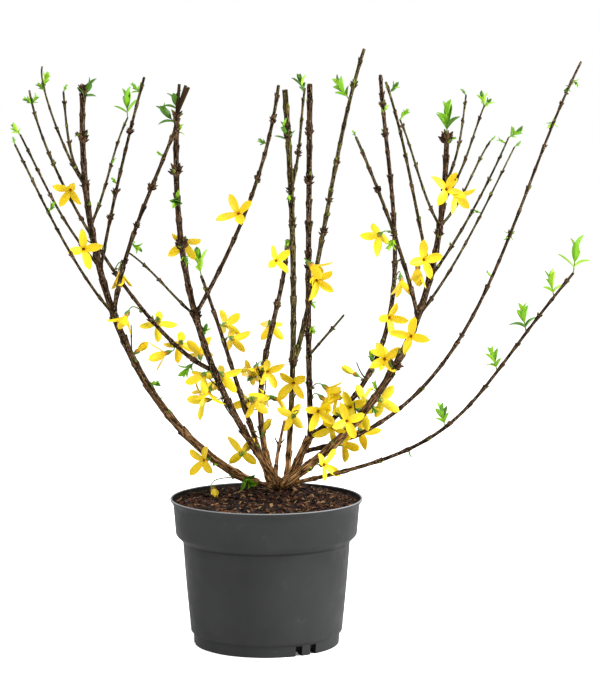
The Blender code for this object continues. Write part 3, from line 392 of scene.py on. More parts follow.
class Finish:
    """A principled material and the few nodes that its pattern needs."""

    def __init__(self, name, colour, roughness, specular):
        self.material = bpy.data.materials.new(name)
        self.material.use_nodes = True
        self.tree = self.material.node_tree
        self.shader = self.tree.nodes["Principled BSDF"]
        self.shader.inputs["Base Color"].default_value = (*colour, 1)
        self.shader.inputs["Roughness"].default_value = roughness
        self.shader.inputs["Specular IOR Level"].default_value = specular
        self.material.diffuse_color = (*colour, 1)

    def node(self, kind, **values):
        """A new node. A value is set on the input of that name, and a socket is linked to it."""
        made = self.tree.nodes.new(kind)
        for name, value in values.items():
            if isinstance(value, bpy.types.NodeSocket):
                self.tree.links.new(value, made.inputs[name.replace("_", " ")])
            elif name.replace("_", " ") in made.inputs:
                made.inputs[name.replace("_", " ")].default_value = value
            else:
                setattr(made, name, value)
        return made

    def place(self, source="Object", scale=(1, 1, 1)):
        """Coordinates in metres, stretched by a scale."""
        found = self.node("ShaderNodeTexCoord").outputs[source]
        return self.node("ShaderNodeMapping", Vector=found, Scale=scale).outputs["Vector"]

    def grain(self, where, scale, detail=4.0):
        """Noise from 0 to 1."""
        return self.node("ShaderNodeTexNoise", Vector=where, Scale=scale, Detail=detail).outputs["Fac"]

    def spread(self, value, low, high, start=0.0, end=1.0):
        """The value with the range from low to high carried to start and end."""
        made = self.node("ShaderNodeMapRange", Value=value)
        for name, number in (("From Min", low), ("From Max", high), ("To Min", start), ("To Max", end)):
            made.inputs[name].default_value = number
        return made.outputs["Result"]

    def mix(self, share, first, second):
        """Colour between two colours."""
        made = self.tree.nodes.new("ShaderNodeMix")
        made.data_type = "RGBA"
        for index, value in ((0, share), (6, first), (7, second)):
            if isinstance(value, bpy.types.NodeSocket):
                self.tree.links.new(value, made.inputs[index])
            else:
                made.inputs[index].default_value = value if index == 0 else (*value, 1)
        return made.outputs[2]

    def times(self, first, second):
        """Product of two values."""
        made = self.tree.nodes.new("ShaderNodeMath")
        made.operation = "MULTIPLY"
        for index, value in enumerate((first, second)):
            if isinstance(value, bpy.types.NodeSocket):
                self.tree.links.new(value, made.inputs[index])
            else:
                made.inputs[index].default_value = value
        return made.outputs[0]

    def attribute(self, name):
        """A value that the mesh carries."""
        made = self.tree.nodes.new("ShaderNodeAttribute")
        made.attribute_name = name
        return made.outputs["Fac"]

    def colour_from(self, socket):
        self.tree.links.new(socket, self.shader.inputs["Base Color"])

    def roughness_from(self, socket):
        self.tree.links.new(socket, self.shader.inputs["Roughness"])

    def height(self):
        """Metres over the floor."""
        where = self.node("ShaderNodeTexCoord").outputs["Object"]
        return self.node("ShaderNodeSeparateXYZ", Vector=where).outputs["Z"]

    def relief(self, height, depth, strength):
        """Bump of a depth in metres."""
        bump = self.node("ShaderNodeBump", Height=height, Distance=depth, Strength=strength)
        self.tree.links.new(bump.outputs["Normal"], self.shader.inputs["Normal"])


def mottled(name, colour, roughness, specular, scale, dark, light, detail=3.0):
    """A finish whose tone goes from dark to light by a fine grain, and that grain."""
    finish = Finish(name, colour, roughness, specular)
    grain = finish.grain(finish.place(), scale, detail)
    finish.colour_from(finish.mix(finish.spread(grain, 0.35, 0.70), dark, light))
    return finish, grain


def placed(name, data):
    """A new object in the scene."""
    obj = bpy.data.objects.new(name, data)
    bpy.context.scene.collection.objects.link(obj)
    return obj


def applied(obj):
    """The object's mesh with its modifiers applied. The object itself goes."""
    graph = bpy.context.evaluated_depsgraph_get()
    mesh = bpy.data.meshes.new_from_object(obj.evaluated_get(graph))
    bpy.data.objects.remove(obj)
    return mesh


def add_piece(name, mesh, finishes, nodes=()):
    """A finished piece of the object, which stands for the CAD nodes named."""
    for finish in finishes:
        mesh.materials.append(finish)
    obj = placed(name, mesh)
    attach(obj, "root")
    if nodes:
        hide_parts(*nodes)
    return obj


def mesh_from(name, bm):
    """A mesh from a bmesh, which is freed, with its faces outwards."""
    bmesh.ops.recalc_face_normals(bm, faces=bm.faces)
    mesh = bpy.data.meshes.new(name)
    bm.to_mesh(mesh)
    bm.free()
    return mesh


def turned(profile, steps):
    """A bmesh spun round Z from a profile of radii and heights."""
    bm = bmesh.new()
    verts = [bm.verts.new((r, 0, z)) for r, z in profile]
    edges = [bm.edges.new(pair) for pair in zip(verts, verts[1:])]
    bmesh.ops.spin(bm, geom=verts + edges, axis=(0, 0, 1), cent=(0, 0, 0), steps=steps, angle=2 * pi,
                   use_merge=True)
    bmesh.ops.remove_doubles(bm, verts=bm.verts, dist=0.00001)
    return bm


def pour(bm, whole):
    """Adds a bmesh to a whole one, and frees it."""
    scratch = bpy.data.meshes.new("scratch")
    bm.to_mesh(scratch)
    bm.free()
    whole.from_mesh(scratch)
    bpy.data.meshes.remove(scratch)


class Shape:
    """A small shape as arrays, ready to be copied many times."""

    def __init__(self, bm):
        bm.verts.index_update()
        self.points = np.array([vert.co for vert in bm.verts])
        self.corners = np.array([vert.index for face in bm.faces for vert in face.verts])
        self.sizes = np.array([len(face.verts) for face in bm.faces])
        self.finishes = np.array([face.material_index for face in bm.faces])
        bm.free()


def primitive(make, **sizes):
    """One of Blender's closed primitives as a shape."""
    bm = bmesh.new()
    make(bm, **sizes)
    bmesh.ops.recalc_face_normals(bm, faces=bm.faces)
    return Shape(bm)


class Heap:
    """Many copies of small shapes, joined into one mesh."""

    def __init__(self):
        self.points = []
        self.corners = []
        self.sizes = []
        self.finishes = []
        self.count = 0

    def add(self, shape, matrix, finishes=None):
        """A copy of the shape. Finishes says which of the mesh's materials stands for each of the shape's."""
        place = np.array(matrix)
        self.points.append(shape.points @ place[:3, :3].T + place[:3, 3])
        self.corners.append(shape.corners + self.count)
        self.sizes.append(shape.sizes)
        chosen = shape.finishes if finishes is None else np.array(finishes)[shape.finishes]
        self.finishes.append(chosen)
        self.count += len(shape.points)

    def mesh(self, name, sharp_over=None):
        """All the copies as one mesh, sharp at edges over an angle in degrees."""
        corners = np.concatenate(self.corners)
        sizes = np.concatenate(self.sizes)
        mesh = bpy.data.meshes.new(name)
        mesh.vertices.add(self.count)
        mesh.vertices.foreach_set("co", np.concatenate(self.points).astype(np.float32).ravel())
        mesh.loops.add(len(corners))
        mesh.loops.foreach_set("vertex_index", corners.astype(np.int32))
        mesh.polygons.add(len(sizes))
        mesh.polygons.foreach_set("loop_start", (np.cumsum(sizes) - sizes).astype(np.int32))
        mesh.polygons.foreach_set("material_index", np.concatenate(self.finishes).astype(np.int32))
        mesh.update(calc_edges=True)
        mesh.shade_smooth()
        if sharp_over:
            mesh.set_sharp_from_angle(angle=radians(sharp_over))
        return mesh


class Wood:
    """A limb's centre line, thickness and joints, read at any distance from its foot."""

    def __init__(self, name, limb, foot, dice):
        self.name = name
        self.limb = limb
        tip = Vector(limb.tip) * MM
        handles = [foot, foot + Vector(limb.lead) * MM, tip - Vector(limb.swing) * MM, tip]
        t = np.linspace(0, 1, CENTRE_LINE_STEPS + 1)[:, None]
        weights = ((1 - t) ** 3, 3 * (1 - t) ** 2 * t, 3 * (1 - t) * t**2, t**3)
        self.points = sum(weight * np.array(handle) for weight, handle in zip(weights, handles))
        steps = np.linalg.norm(np.diff(self.points, axis=0), axis=1)
        self.distance = np.concatenate([[0], np.cumsum(steps)])
        self.length = self.distance[-1]
        self.joints = self.pick_joints(dice)

    def pick_joints(self, dice):
        """Distances of the pairs of buds, closer together towards the tip, and each pair's turn."""
        spacing = bpy.context.scene.wood.joint_spacing
        joints = []
        along = spacing * dice.uniform(0.5, 0.9)
        while along < self.length - JOINT_MARGIN:
            joints.append((along, len(joints) * pi / 2 + dice.uniform(-0.2, 0.2)))
            along += spacing * (1 - JOINT_CROWDING * along / self.length) * dice.uniform(0.75, 1.2)
        return joints

    def point(self, share):
        """Place at a share of the length."""
        where = min(max(share, 0), 1) * self.length
        return Vector([np.interp(where, self.distance, self.points[:, i]) for i in range(3)])

    def heading(self, share):
        """Direction of growth at a share of the length."""
        return (self.point(min(share + 0.01, 1)) - self.point(max(share - 0.01, 0))).normalized()

    def radius(self, share):
        """Radius at a share of the length, before any relief."""
        foot, tip = self.limb.foot_radius, self.limb.tip_radius
        return (foot + (tip - foot) * share**TAPER) * MM

    def frames(self, distances):
        """Centre, sideways, upward and forward vectors at each distance, turned evenly along the limb."""
        centres = np.stack([np.interp(distances, self.distance, self.points[:, i]) for i in range(3)], 1)
        headings = np.array([self.heading(d / self.length) for d in distances])
        across = Vector(headings[0]).orthogonal()
        sideways = []
        for ahead in headings:
            ahead = Vector(ahead)
            across = (across - ahead * across.dot(ahead)).normalized()
            sideways.append(across.copy())
        sideways = np.array(sideways)
        return centres, sideways, np.cross(headings, sideways), headings


def grow(dice):
    """Every limb's wood, each from its foot on its carrier."""
    grown = {}
    for name, limb in LIMBS.items():
        foot = grown[limb.carrier].point(limb.at) if limb.carrier else Vector(limb.at) * MM
        grown[name] = Wood(name, limb, foot, dice)
    return grown


PLANT = {}


def plant():
    """The limbs, grown once for all the pieces."""
    if not PLANT:
        PLANT.update(grow(np.random.default_rng(7)))
    return PLANT


def smooth_step(share):
    """From 0 to 1 with an even start and end."""
    share = np.clip(share, 0, 1)
    return share * share * (3 - 2 * share)


def limb_relief(wood, carrier_radius, around, along, dice):
    """Radius at each angle and distance: taper, flared foot, bark ridges and swollen joints."""
    radius = wood.radius(np.interp(along, [0, wood.length], [0, 1]))
    past_carrier = np.maximum(along - carrier_radius, 0)
    flare = FOOT_FLARE * np.exp(-(past_carrier / (wood.limb.foot_radius * MM * FLARE_REACH)) ** 2)
    ridges = np.zeros_like(along)
    for turns, pitch, weight in RIDGES:
        start, drift = dice.uniform(0, 2 * pi, 2)
        ridges += weight * np.sin(turns * around + start + np.sin(along * 2 * pi / pitch + drift))
    ridges *= YOUNG_RIDGES + OLD_RIDGES * old_bark(wood, along)
    lumps = np.zeros_like(along)
    for pitch, weight in LUMPS:
        lumps += weight * np.sin(along * 2 * pi / pitch + dice.uniform(0, 2 * pi) + np.cos(around))
    shape = radius * (1 + flare + ridges + lumps * LUMP_DEPTH)
    half_ring, ring_height, ring_share = JOINT_RING
    shoulder, shoulder_height, shoulder_share = JOINT_SHOULDER
    for where, turn in wood.joints:
        ring = np.exp(-((along - where) / half_ring) ** 2)
        below = np.exp(-((along - where + shoulder) / shoulder) ** 2) * np.cos(around - turn) ** 2
        shape += ring * (ring_height + ring_share * radius)
        shape += below * (shoulder_height + shoulder_share * radius)
    return shape


def old_bark(wood, along):
    """How far the bark is old and ridged, from 1 at the root crown to 0."""
    if wood.name in OLD_LIMBS:
        return np.full_like(along, 0.9)
    if wood.limb.carrier is None:
        reach = OLD_REACH[wood.limb.foot_radius > THICK_STEM]
        return np.exp(-((along / reach) ** 2))
    return np.zeros_like(along)


def green_bark(wood, size, ages):
    """How far the bark is green: on thin young wood, more on some limbs and less on others."""
    green = np.clip((GREEN_UNDER * MM - size) / (GREEN_SPAN * MM), 0, 1) * (1 - ages)
    if wood.name in GREEN_LIMBS:
        return np.maximum(green, 0.50)
    return green * 0.2 if wood.name in BROWN_LIMBS else green


def limb_bmesh(wood, sides, spacing, dice):
    """One limb as a closed tube with relief, from a grid that is rolled up along its centre line."""
    rings = max(8, round(wood.length / spacing))
    bm = bmesh.new()
    bmesh.ops.create_grid(bm, x_segments=sides, y_segments=rings, size=0.5)
    flat = np.array([vert.co for vert in bm.verts])
    around = (flat[:, 0] + 0.5) * 2 * pi
    row = np.rint((flat[:, 1] + 0.5) * rings).astype(int)
    steps = np.concatenate([[0, 0], np.linspace(0, wood.length, rings - 3), [wood.length, wood.length]])
    steps[2] = FOOT_STEP
    shrink = np.ones(rings + 1)
    shrink[:2] = FOOT_CLOSING
    shrink[-3:] = TIP_CLOSING
    along = steps[row]
    carrier = LIMBS.get(wood.limb.carrier)
    carrier_radius = (carrier.foot_radius if carrier else CROWN_SHOULDER) * MM
    size = limb_relief(wood, carrier_radius, around, along, dice) * shrink[row]
    centres, sideways, up, _ = wood.frames(steps)
    points = centres[row] + size[:, None] * (
        np.cos(around)[:, None] * sideways[row] + np.sin(around)[:, None] * up[row])
    uv = bm.loops.layers.uv.new("Bark")
    scale = 2 * pi * wood.limb.foot_radius
    for face in bm.faces:
        for loop in face.loops:
            loop[uv].uv = ((loop.vert.co.x + 0.5) * scale, along[loop.vert.index] / MM)
    old = bm.verts.layers.float.new("old")
    green = bm.verts.layers.float.new("green")
    ages = old_bark(wood, along)
    for vert, point, age, young in zip(bm.verts, points, ages, green_bark(wood, size, ages)):
        vert.co = point
        vert[old] = age
        vert[green] = young
    bmesh.ops.remove_doubles(bm, verts=bm.verts, dist=0.000002)
    return bm


def bark_finish(name, settings):
    """Bark with pale lenticels: tan and furrowed where it is old, brown above and olive on the twigs."""
    finish = Finish(name, tuple(settings.bark_colour), 0.90, 0.02)
    where = finish.place("UV")
    streaks = finish.grain(finish.place("UV", (1.0, 0.11, 1.0)), 1.0, 4.0)
    stripes = finish.grain(finish.place("UV", (1.0, 0.06, 1.0)), 0.40, 2.0)
    blotches = finish.grain(where, 0.16, 3.0)
    dots = finish.node("ShaderNodeTexVoronoi", Vector=finish.place("UV", (1.0, 0.55, 1.0)), Scale=0.50,
                       Randomness=1.0).outputs["Distance"]
    lenticels = finish.spread(dots, 0.18, 0.30, 1.0, 0.0)
    lit = finish.times(finish.spread(streaks, 0.44, 0.60), finish.spread(stripes, 0.40, 0.56, 0.12, 1.0))
    bark = finish.mix(lit, shade(settings.bark_colour, 0.05), tuple(settings.bark_colour))
    bark = finish.mix(finish.spread(blotches, 0.54, 0.74, 0.0, 0.45), bark, WORN_BARK)
    olive = finish.mix(lit, OLIVE_FURROW, tuple(settings.twig_colour))
    green = finish.times(finish.attribute("green"), finish.spread(blotches, 0.38, 0.58, 0.40, 1.0))
    bark = finish.mix(green, bark, olive)
    old = finish.mix(lit, shade(settings.old_colour, 0.06), tuple(settings.old_colour))
    bark = finish.mix(finish.attribute("old"), bark, old)
    bark = finish.mix(finish.times(lenticels, 0.55), bark, LENTICEL)
    finish.colour_from(bark)
    finish.relief(streaks, 0.0008, 0.8)
    return finish.material


def joined(bmeshes):
    """One bmesh that holds all of them."""
    whole = bmesh.new()
    for bm in bmeshes:
        pour(bm, whole)
    return whole


class SHRUB_OT_pot(bpy.types.Operator):
    """Moulded nursery pot with a rolled lip, a band and drain slots"""

    bl_idname = "shrub.pot"
    bl_label = "Pot"

    # The lip's flare: how far out of the band's top radius, and how far below the rim
    FLARE = ((0, 0.0110), (0.0003, 0.0075), (0.0010, 0.0050), (0.0021, 0.0034), (0.0031, 0.0022),
             (RIM_RADIUS - BAND_TOP_RADIUS, 0.0008))
    # Widths, and the heights of the edges that take them
    BEVELS = ((0.0014, (BAND_FOOT,)), (0.0005, (BODY_TOP,)),
              (0.0003, (FOOT_HEIGHT, FOOT_HEIGHT + FOOT_DRAFT, 0)))

    def execute(self, context):
        settings = context.scene.pot
        bm = turned(self.profile(), settings.steps)
        bmesh.ops.recalc_face_normals(bm, faces=bm.faces)
        for width, heights in self.BEVELS:
            self.round_corners(bm, width, heights)
        mesh = self.cut_slots(mesh_from("nursery_pot", bm))
        mesh.shade_smooth()
        mesh.set_sharp_from_angle(angle=radians(38))
        for face in mesh.polygons:
            inside = face.center.xy.dot(face.normal.xy) < 0 and face.center.z < POT_HEIGHT - LIP_EDGE
            face.material_index = 1 if inside else 0
        finishes = [self.plastic(settings), self.inner_plastic(settings)]
        pot = add_piece("nursery_pot", mesh, finishes, ["pot"])
        if len(pot.data.polygons) < 1000:
            raise RuntimeError("the pot came out with too few faces")
        return {"FINISHED"}

    def profile(self):
        """Radii and heights, from the underside up the outside, over the lip and down to the floor."""
        lip = [(BAND_TOP_RADIUS + out, POT_HEIGHT - down) for out, down in self.FLARE]
        hollow = FOOT_RADIUS - STANDING_RING
        middle = BODY_RINGS[1]
        return [
            (0, UNDERSIDE_RECESS), (hollow - UNDERSIDE_RECESS, UNDERSIDE_RECESS), (hollow, 0),
            (FOOT_RADIUS, 0), (FOOT_RADIUS + FOOT_DRAFT, FOOT_HEIGHT),
            *((self.outer(height), height) for height in (FOOT_HEIGHT + FOOT_DRAFT, *BODY_RINGS, BODY_TOP)),
            (BAND_FOOT_RADIUS, BAND_FOOT), *lip,
            (RIM_RADIUS - LIP_EDGE, POT_HEIGHT), (RIM_RADIUS - LIP_ROUND, POT_HEIGHT),
            *((radius - POT_WALL, height) for radius, height in reversed(lip)),
            (BAND_FOOT_RADIUS - POT_WALL, BAND_FOOT), (BODY_TOP_RADIUS - POT_WALL, BODY_TOP),
            (self.outer(middle) - POT_WALL, middle), (FOOT_RADIUS - POT_WALL, FOOT_HEIGHT),
            (FOOT_RADIUS - POT_WALL, POT_FLOOR), (0, POT_FLOOR),
        ]

    def outer(self, height):
        """Outer radius of the pot's body under its band."""
        share = height / BODY_TOP
        return BODY_FOOT_RADIUS + (BODY_TOP_RADIUS - BODY_FOOT_RADIUS) * share + BODY_BULGE * sin(pi * share)

    def round_corners(self, bm, width, heights):
        """Bevels the rings of outer edges at these heights."""
        rings = []
        for edge in bm.edges:
            first, second = edge.verts
            level = abs(first.co.z - second.co.z) < 1e-6
            outside = first.co.xy.length > FOOT_RADIUS - 0.0001
            if level and outside and any(abs(first.co.z - h) < 0.0005 for h in heights):
                if len(edge.link_faces) == 2 and edge.calc_face_angle(0) > 0.12:
                    rings.append(edge)
        bmesh.ops.bevel(bm, geom=rings, offset=width, offset_type="OFFSET", segments=3, profile=0.5,
                        affect="EDGES", material=-1)

    def cut_slots(self, mesh):
        """The mesh with the drain slots cut out of its foot."""
        cutter = bmesh.new()
        for group in range(DRAIN_GROUPS):
            for side in (-1, 1):
                angle = DRAIN_FIRST_ANGLE + group * 360 / DRAIN_GROUPS + side * DRAIN_HALF_SPREAD
                size = Matrix.Diagonal((DRAIN_REACH, DRAIN_WIDTH, DRAIN_HEIGHT * 2, 1))
                place = Matrix.Rotation(radians(angle), 4, "Z") @ Matrix.Translation((FOOT_RADIUS, 0, 0))
                bmesh.ops.create_cube(cutter, size=1, matrix=place @ size)
        whole = placed("whole_pot", mesh)
        slots = placed("slots", mesh_from("slots", cutter))
        cut = whole.modifiers.new("Slots", "BOOLEAN")
        cut.operation = "DIFFERENCE"
        cut.object = slots
        cut.solver = "EXACT"
        made = applied(whole)
        bpy.data.objects.remove(slots)
        made.materials.clear()
        return made

    def plastic(self, settings):
        """Dark satin plastic with faint streaks and scuffs, a painted highlight along the lip's top and a
        painted shadow under the band.
        """
        colour = settings.colour
        finish = Finish("pot_plastic", tuple(colour), 0.58, 0.05)
        where = finish.place()
        scuffs = finish.grain(where, 95.0, 6.0)
        broad = finish.grain(where, 14.0, 3.0)
        streaks = finish.grain(finish.place("Object", (1, 1, 0.05)), 260.0, 3.0)
        tone = finish.mix(finish.spread(broad, 0.35, 0.65), shade(colour, 0.88), shade(colour, 1.14))
        tone = finish.mix(finish.spread(scuffs, 0.62, 0.80, 0.0, 0.35), tone, shade(colour, 2.2))
        height = finish.height()
        # painted highlight: the top 0.9 mm of the lip turns to the pale lip colour, standing for light caught
        # along the lip's edge
        lip = finish.spread(height, POT_HEIGHT - 0.0009, POT_HEIGHT - 0.0003)
        tone = finish.mix(lip, tone, tuple(settings.lip_highlight_colour))
        shadow = finish.times(finish.spread(height, BODY_TOP - 0.0012, BODY_TOP),
                              finish.spread(height, BODY_TOP + 0.0008, BODY_TOP + 0.0026, 1.0, 0.0))
        tone = finish.mix(finish.times(shadow, 0.5), tone, (0, 0, 0))
        finish.colour_from(tone)
        finish.roughness_from(finish.spread(scuffs, 0.3, 0.7, 0.52, 0.66))
        finish.relief(streaks, 0.00012, 0.25)
        return finish.material

    def inner_plastic(self, settings):
        """The inner wall: the plastic painted darker as shade inside the pot, with peat dust on it."""
        # painted shade: the inner wall is the outer plastic at 0.35 of its tone, as if shaded inside the pot
        colour = shade(settings.colour, 0.35)
        finish = Finish("pot_inside", colour, 0.85, 0.02)
        dust = finish.grain(finish.place(), 300.0)
        finish.colour_from(finish.mix(finish.spread(dust, 0.45, 0.70), colour, (0.014, 0.009, 0.006)))
        return finish.material


class SHRUB_OT_potting_mix(bpy.types.Operator):
    """Potting mix: a rough mound with bark chips and straw on it"""

    bl_idname = "shrub.potting_mix"
    bl_label = "Potting mix"

    CHIP_COLOURS = ((0.006, 0.003, 0.002), (0.032, 0.010, 0.004), (0.015, 0.006, 0.003),
                    (0.064, 0.026, 0.010), (0.180, 0.098, 0.044))
    CHIP_SHARES = (0.34, 0.28, 0.22, 0.11, 0.05)

    def execute(self, context):
        settings = context.scene.pot
        add_piece("bark_mix", self.bed(), [self.peat(settings)], ["potting_mix"])
        dice = np.random.default_rng(11)
        edge = BAND_TOP_RADIUS - POT_WALL + CHIP_OVERLAP
        finishes = [self.chip_finish(f"bark_chip_{i + 1}", c) for i, c in enumerate(self.CHIP_COLOURS)]
        add_piece("bark_chips", self.chips(settings, edge, dice), finishes)
        pale = Finish("straw", (0.23, 0.14, 0.06), 0.8, 0.1).material
        add_piece("straw_flecks", self.straws(edge * 0.97, dice), [pale])
        return {"FINISHED"}

    def chips(self, settings, edge, dice):
        """Bark chips strewn evenly on the mix, most of them small and flat."""
        chips = Heap()
        shapes = [self.chip(dice) for _ in range(8)]
        for _ in range(settings.chips):
            reach, x, y = self.spot(edge, dice)
            length = min(settings.chip_size * dice.lognormal(0, 0.42), LONGEST_CHIP)
            if reach + length * 0.5 > edge:
                x, y = x * 0.94, y * 0.94
            tilt = Matrix.Rotation(dice.normal(0, 0.42), 4, "X")
            tilt = tilt @ Matrix.Rotation(dice.normal(0, 0.42), 4, "Y")
            turn = Matrix.Rotation(dice.uniform(0, 2 * pi), 4, "Z")
            lift = self.level(x, y) + length * dice.uniform(0.02, 0.16)
            place = Matrix.Translation((x, y, lift)) @ turn @ tilt @ Matrix.Scale(length, 4)
            colour = int(dice.choice(5, p=self.CHIP_SHARES))
            chips.add(shapes[dice.integers(8)], place, [colour])
        return chips.mesh("bark_chips", 35)

    def straws(self, edge, dice):
        """Pale flecks of straw among the chips."""
        straws = Heap()
        stalk = primitive(bmesh.ops.create_cone, cap_ends=True, segments=5, radius1=1.0, radius2=0.6,
                          depth=1.0, matrix=Matrix.Rotation(pi / 2, 4, "Y"))
        for _ in range(STRAWS):
            _, x, y = self.spot(edge, dice)
            turn = Matrix.Rotation(dice.uniform(0, 2 * pi), 4, "Z")
            turn = turn @ Matrix.Rotation(dice.normal(0, 0.2), 4, "Y")
            length = dice.uniform(0.003, 0.008)
            size = Matrix.Diagonal((length, dice.uniform(0.0003, 0.0006), 0.0003, 1))
            lift = self.level(x, y) + dice.uniform(0.0006, 0.0014)
            straws.add(stalk, Matrix.Translation((x, y, lift)) @ turn @ size)
        return straws.mesh("straw_flecks")

    def spot(self, edge, dice):
        """A place on the mix: how far out it is, and where."""
        reach = edge * dice.uniform() ** 0.5
        angle = dice.uniform(0, 2 * pi)
        return reach, reach * cos(angle), reach * sin(angle)

    def level(self, x, y):
        """Height of the mix at a place."""
        away = (Vector((x, y)) - Vector(CROWN_CENTRE)).length
        share = (MOUND_FOOT_RADIUS - away) / (MOUND_FOOT_RADIUS - MOUND_TOP_RADIUS)
        rough = noise.noise(Vector((x, y, 0)) * 160) * 0.0009 + noise.noise(Vector((x, y, 3)) * 55) * 0.0011
        heap = HEAP_HEIGHT * exp(-((away / HEAP_REACH) ** 2))
        return SOIL_LEVEL + MOUND_HEIGHT * float(smooth_step(share)) + heap + rough - BED_CLEARANCE

    def bed(self):
        """The mix itself, which fills the pot, with a crumbly top."""
        edge = BAND_TOP_RADIUS - POT_WALL + BED_OVERLAP
        rings = 90
        floor = POT_FLOOR + 0.0005
        profile = [(edge * ring / rings, SOIL_LEVEL) for ring in range(rings + 1)]
        profile += [(radius - POT_WALL - BED_CLEARANCE, height) for radius, height in (
            (BAND_FOOT_RADIUS, BAND_FOOT), (BODY_TOP_RADIUS, BODY_TOP), (BODY_MIDDLE_RADIUS, BODY_RINGS[1]),
            (FOOT_RADIUS, FOOT_HEIGHT), (FOOT_RADIUS, floor))]
        bm = turned(profile + [(0, floor)], 160)
        for vert in bm.verts:
            if vert.co.z > SOIL_LEVEL - 0.0001:
                x, y, _ = vert.co
                fine = noise.noise(Vector((x, y, 7)) * 520) * 0.0010
                vert.co.z = self.level(x, y) + fine
        mesh = mesh_from("bark_mix", bm)
        mesh.shade_smooth()
        return mesh

    def chip(self, dice):
        """A split of bark: a block with every corner knocked about and its edges taken off."""
        bm = bmesh.new()
        bmesh.ops.create_cube(bm, size=1)
        bmesh.ops.subdivide_edges(bm, edges=bm.edges, cuts=1, use_grid_fill=True)
        wide, thick = dice.uniform(0.35, 0.8), dice.uniform(0.12, 0.3)
        for vert in bm.verts:
            x, y, z = vert.co
            swell = 1 - 0.30 * (abs(x) > 0.4) * dice.uniform(0.3, 1.4)
            vert.co = Vector((x + dice.normal(0, 0.055), y * wide * swell + dice.normal(0, 0.05),
                              z * thick + 0.06 * x * x + dice.normal(0, 0.035)))
        bmesh.ops.recalc_face_normals(bm, faces=bm.faces)
        return Shape(bm)

    def peat(self, settings):
        """Dark peat between the chips, painted near black as shade where it lies deep in the pot."""
        finish = Finish("peat", tuple(settings.soil_colour), 0.92, 0.1)
        crumbs = finish.grain(finish.place(), 900.0, 5.0)
        tone = finish.mix(finish.spread(crumbs, 0.42, 0.64), shade(settings.soil_colour, 0.35),
                          (0.034, 0.013, 0.006))
        # painted shade: the peat fades to near black from 9 cm down, fully so at 3 cm, for the dark inside of
        # the pot seen through the drain slots
        deep = finish.spread(finish.height(), 0.03, 0.09, 1.0, 0.0)
        tone = finish.mix(deep, tone, (0.002, 0.001, 0.001))
        finish.colour_from(tone)
        finish.relief(crumbs, 0.0012, 0.8)
        return finish.material

    def chip_finish(self, name, colour):
        """Bark with fine fibres."""
        dark, light = shade(colour, 0.55), shade(colour, 1.45)
        finish, fibres = mottled(name, colour, 0.82, 0.14, 1500.0, dark, light, detail=4.0)
        finish.relief(fibres, 0.0004, 0.6)
        return finish.material


class SHRUB_OT_root_crown(bpy.types.Operator):
    """Woody foot of the stems, melted together from a dome and their flared heels"""

    bl_idname = "shrub.root_crown"
    bl_label = "Root crown"

    SUNK = 0.0010  # how far the dome's centre lies in the mound
    HEEL_BALLS = 15
    HEEL_START = 0.55  # from the stem's foot towards the crown's centre
    HEEL_FOOT = 0.35  # share of the balls that lead from there to the stem's foot
    SKIN_GRAIN = 0.00075

    def execute(self, context):
        centre = Vector((*CROWN_CENTRE, SOIL_LEVEL + MOUND_HEIGHT - self.SUNK))
        bm = bmesh.new()
        size = Matrix.Diagonal((DOME_RADIUS, DOME_RADIUS, CROWN_HEIGHT, 1))
        bmesh.ops.create_icosphere(bm, subdivisions=4, radius=1, matrix=Matrix.Translation(centre) @ size)
        for wood in plant().values():
            if wood.limb.carrier is None:
                self.add_heel(bm, wood, centre)
        mesh = self.melted(mesh_from("root_crown_wood", bm))
        self.furrow(mesh)
        crown = add_piece("root_crown_wood", mesh, [self.bark(context.scene.wood)], ["root_crown"])
        if not crown.data.polygons:
            raise RuntimeError("the root crown came out empty")
        return {"FINISHED"}

    def add_heel(self, bm, wood, centre):
        """Balls that shrink from the crown's centre out along a stem."""
        inner = wood.point(0).lerp(centre, self.HEEL_START)
        for share in np.linspace(0, 1, self.HEEL_BALLS):
            if share < self.HEEL_FOOT:
                where = inner.lerp(wood.point(0), share / self.HEEL_FOOT)
            else:
                up_stem = (share - self.HEEL_FOOT) / (1 - self.HEEL_FOOT)
                where = wood.point(up_stem * CROWN_REACH / wood.length)
            radius = wood.radius(0) * (0.90 + 0.50 * (1 - share) ** 1.6)
            bmesh.ops.create_icosphere(bm, subdivisions=2, radius=radius, matrix=Matrix.Translation(where))

    def melted(self, mesh):
        """The overlapping balls as one smooth skin."""
        lump = placed("lump", mesh)
        skin = lump.modifiers.new("Skin", "REMESH")
        skin.mode = "VOXEL"
        skin.voxel_size = self.SKIN_GRAIN
        smooth = lump.modifiers.new("Smooth", "SMOOTH")
        smooth.factor = 0.6
        smooth.iterations = 8
        return applied(lump)

    def furrow(self, mesh):
        """Ridges that run up the crown, with a fine roughness on them."""
        bm = bmesh.new()
        bm.from_mesh(mesh)
        bm.normal_update()
        for vert in bm.verts:
            out = (vert.co.xy - Vector(CROWN_CENTRE)).normalized() * 4
            ridge = noise.noise(Vector((*out, vert.co.z * 60)))
            fine = noise.noise(vert.co * 420)
            vert.co += vert.normal * (ridge * 0.0009 + fine * 0.00045)
        bm.to_mesh(mesh)
        bm.free()
        mesh.shade_smooth()

    def bark(self, settings):
        """Tan bark with dark furrows, stained by the mix towards its foot."""
        old = tuple(settings.old_colour)
        finish = Finish("crown_bark", old, 0.90, 0.02)
        furrows = finish.grain(finish.place("Object", (1, 1, 0.30)), 420.0, 6.0)
        patches = finish.grain(finish.place(), 110.0, 3.0)
        tone = finish.mix(finish.spread(furrows, 0.42, 0.58), shade(old, 0.09), old)
        tone = finish.mix(finish.spread(patches, 0.42, 0.66, 0.0, 0.8), tone, shade(old, 0.22))
        soiled = finish.spread(finish.height(), STAIN_TOP - STAIN_DEPTH, STAIN_TOP, 0.92, 0.0)
        finish.colour_from(finish.mix(soiled, tone, (0.022, 0.012, 0.007)))
        finish.relief(furrows, 0.0012, 0.8)
        return finish.material


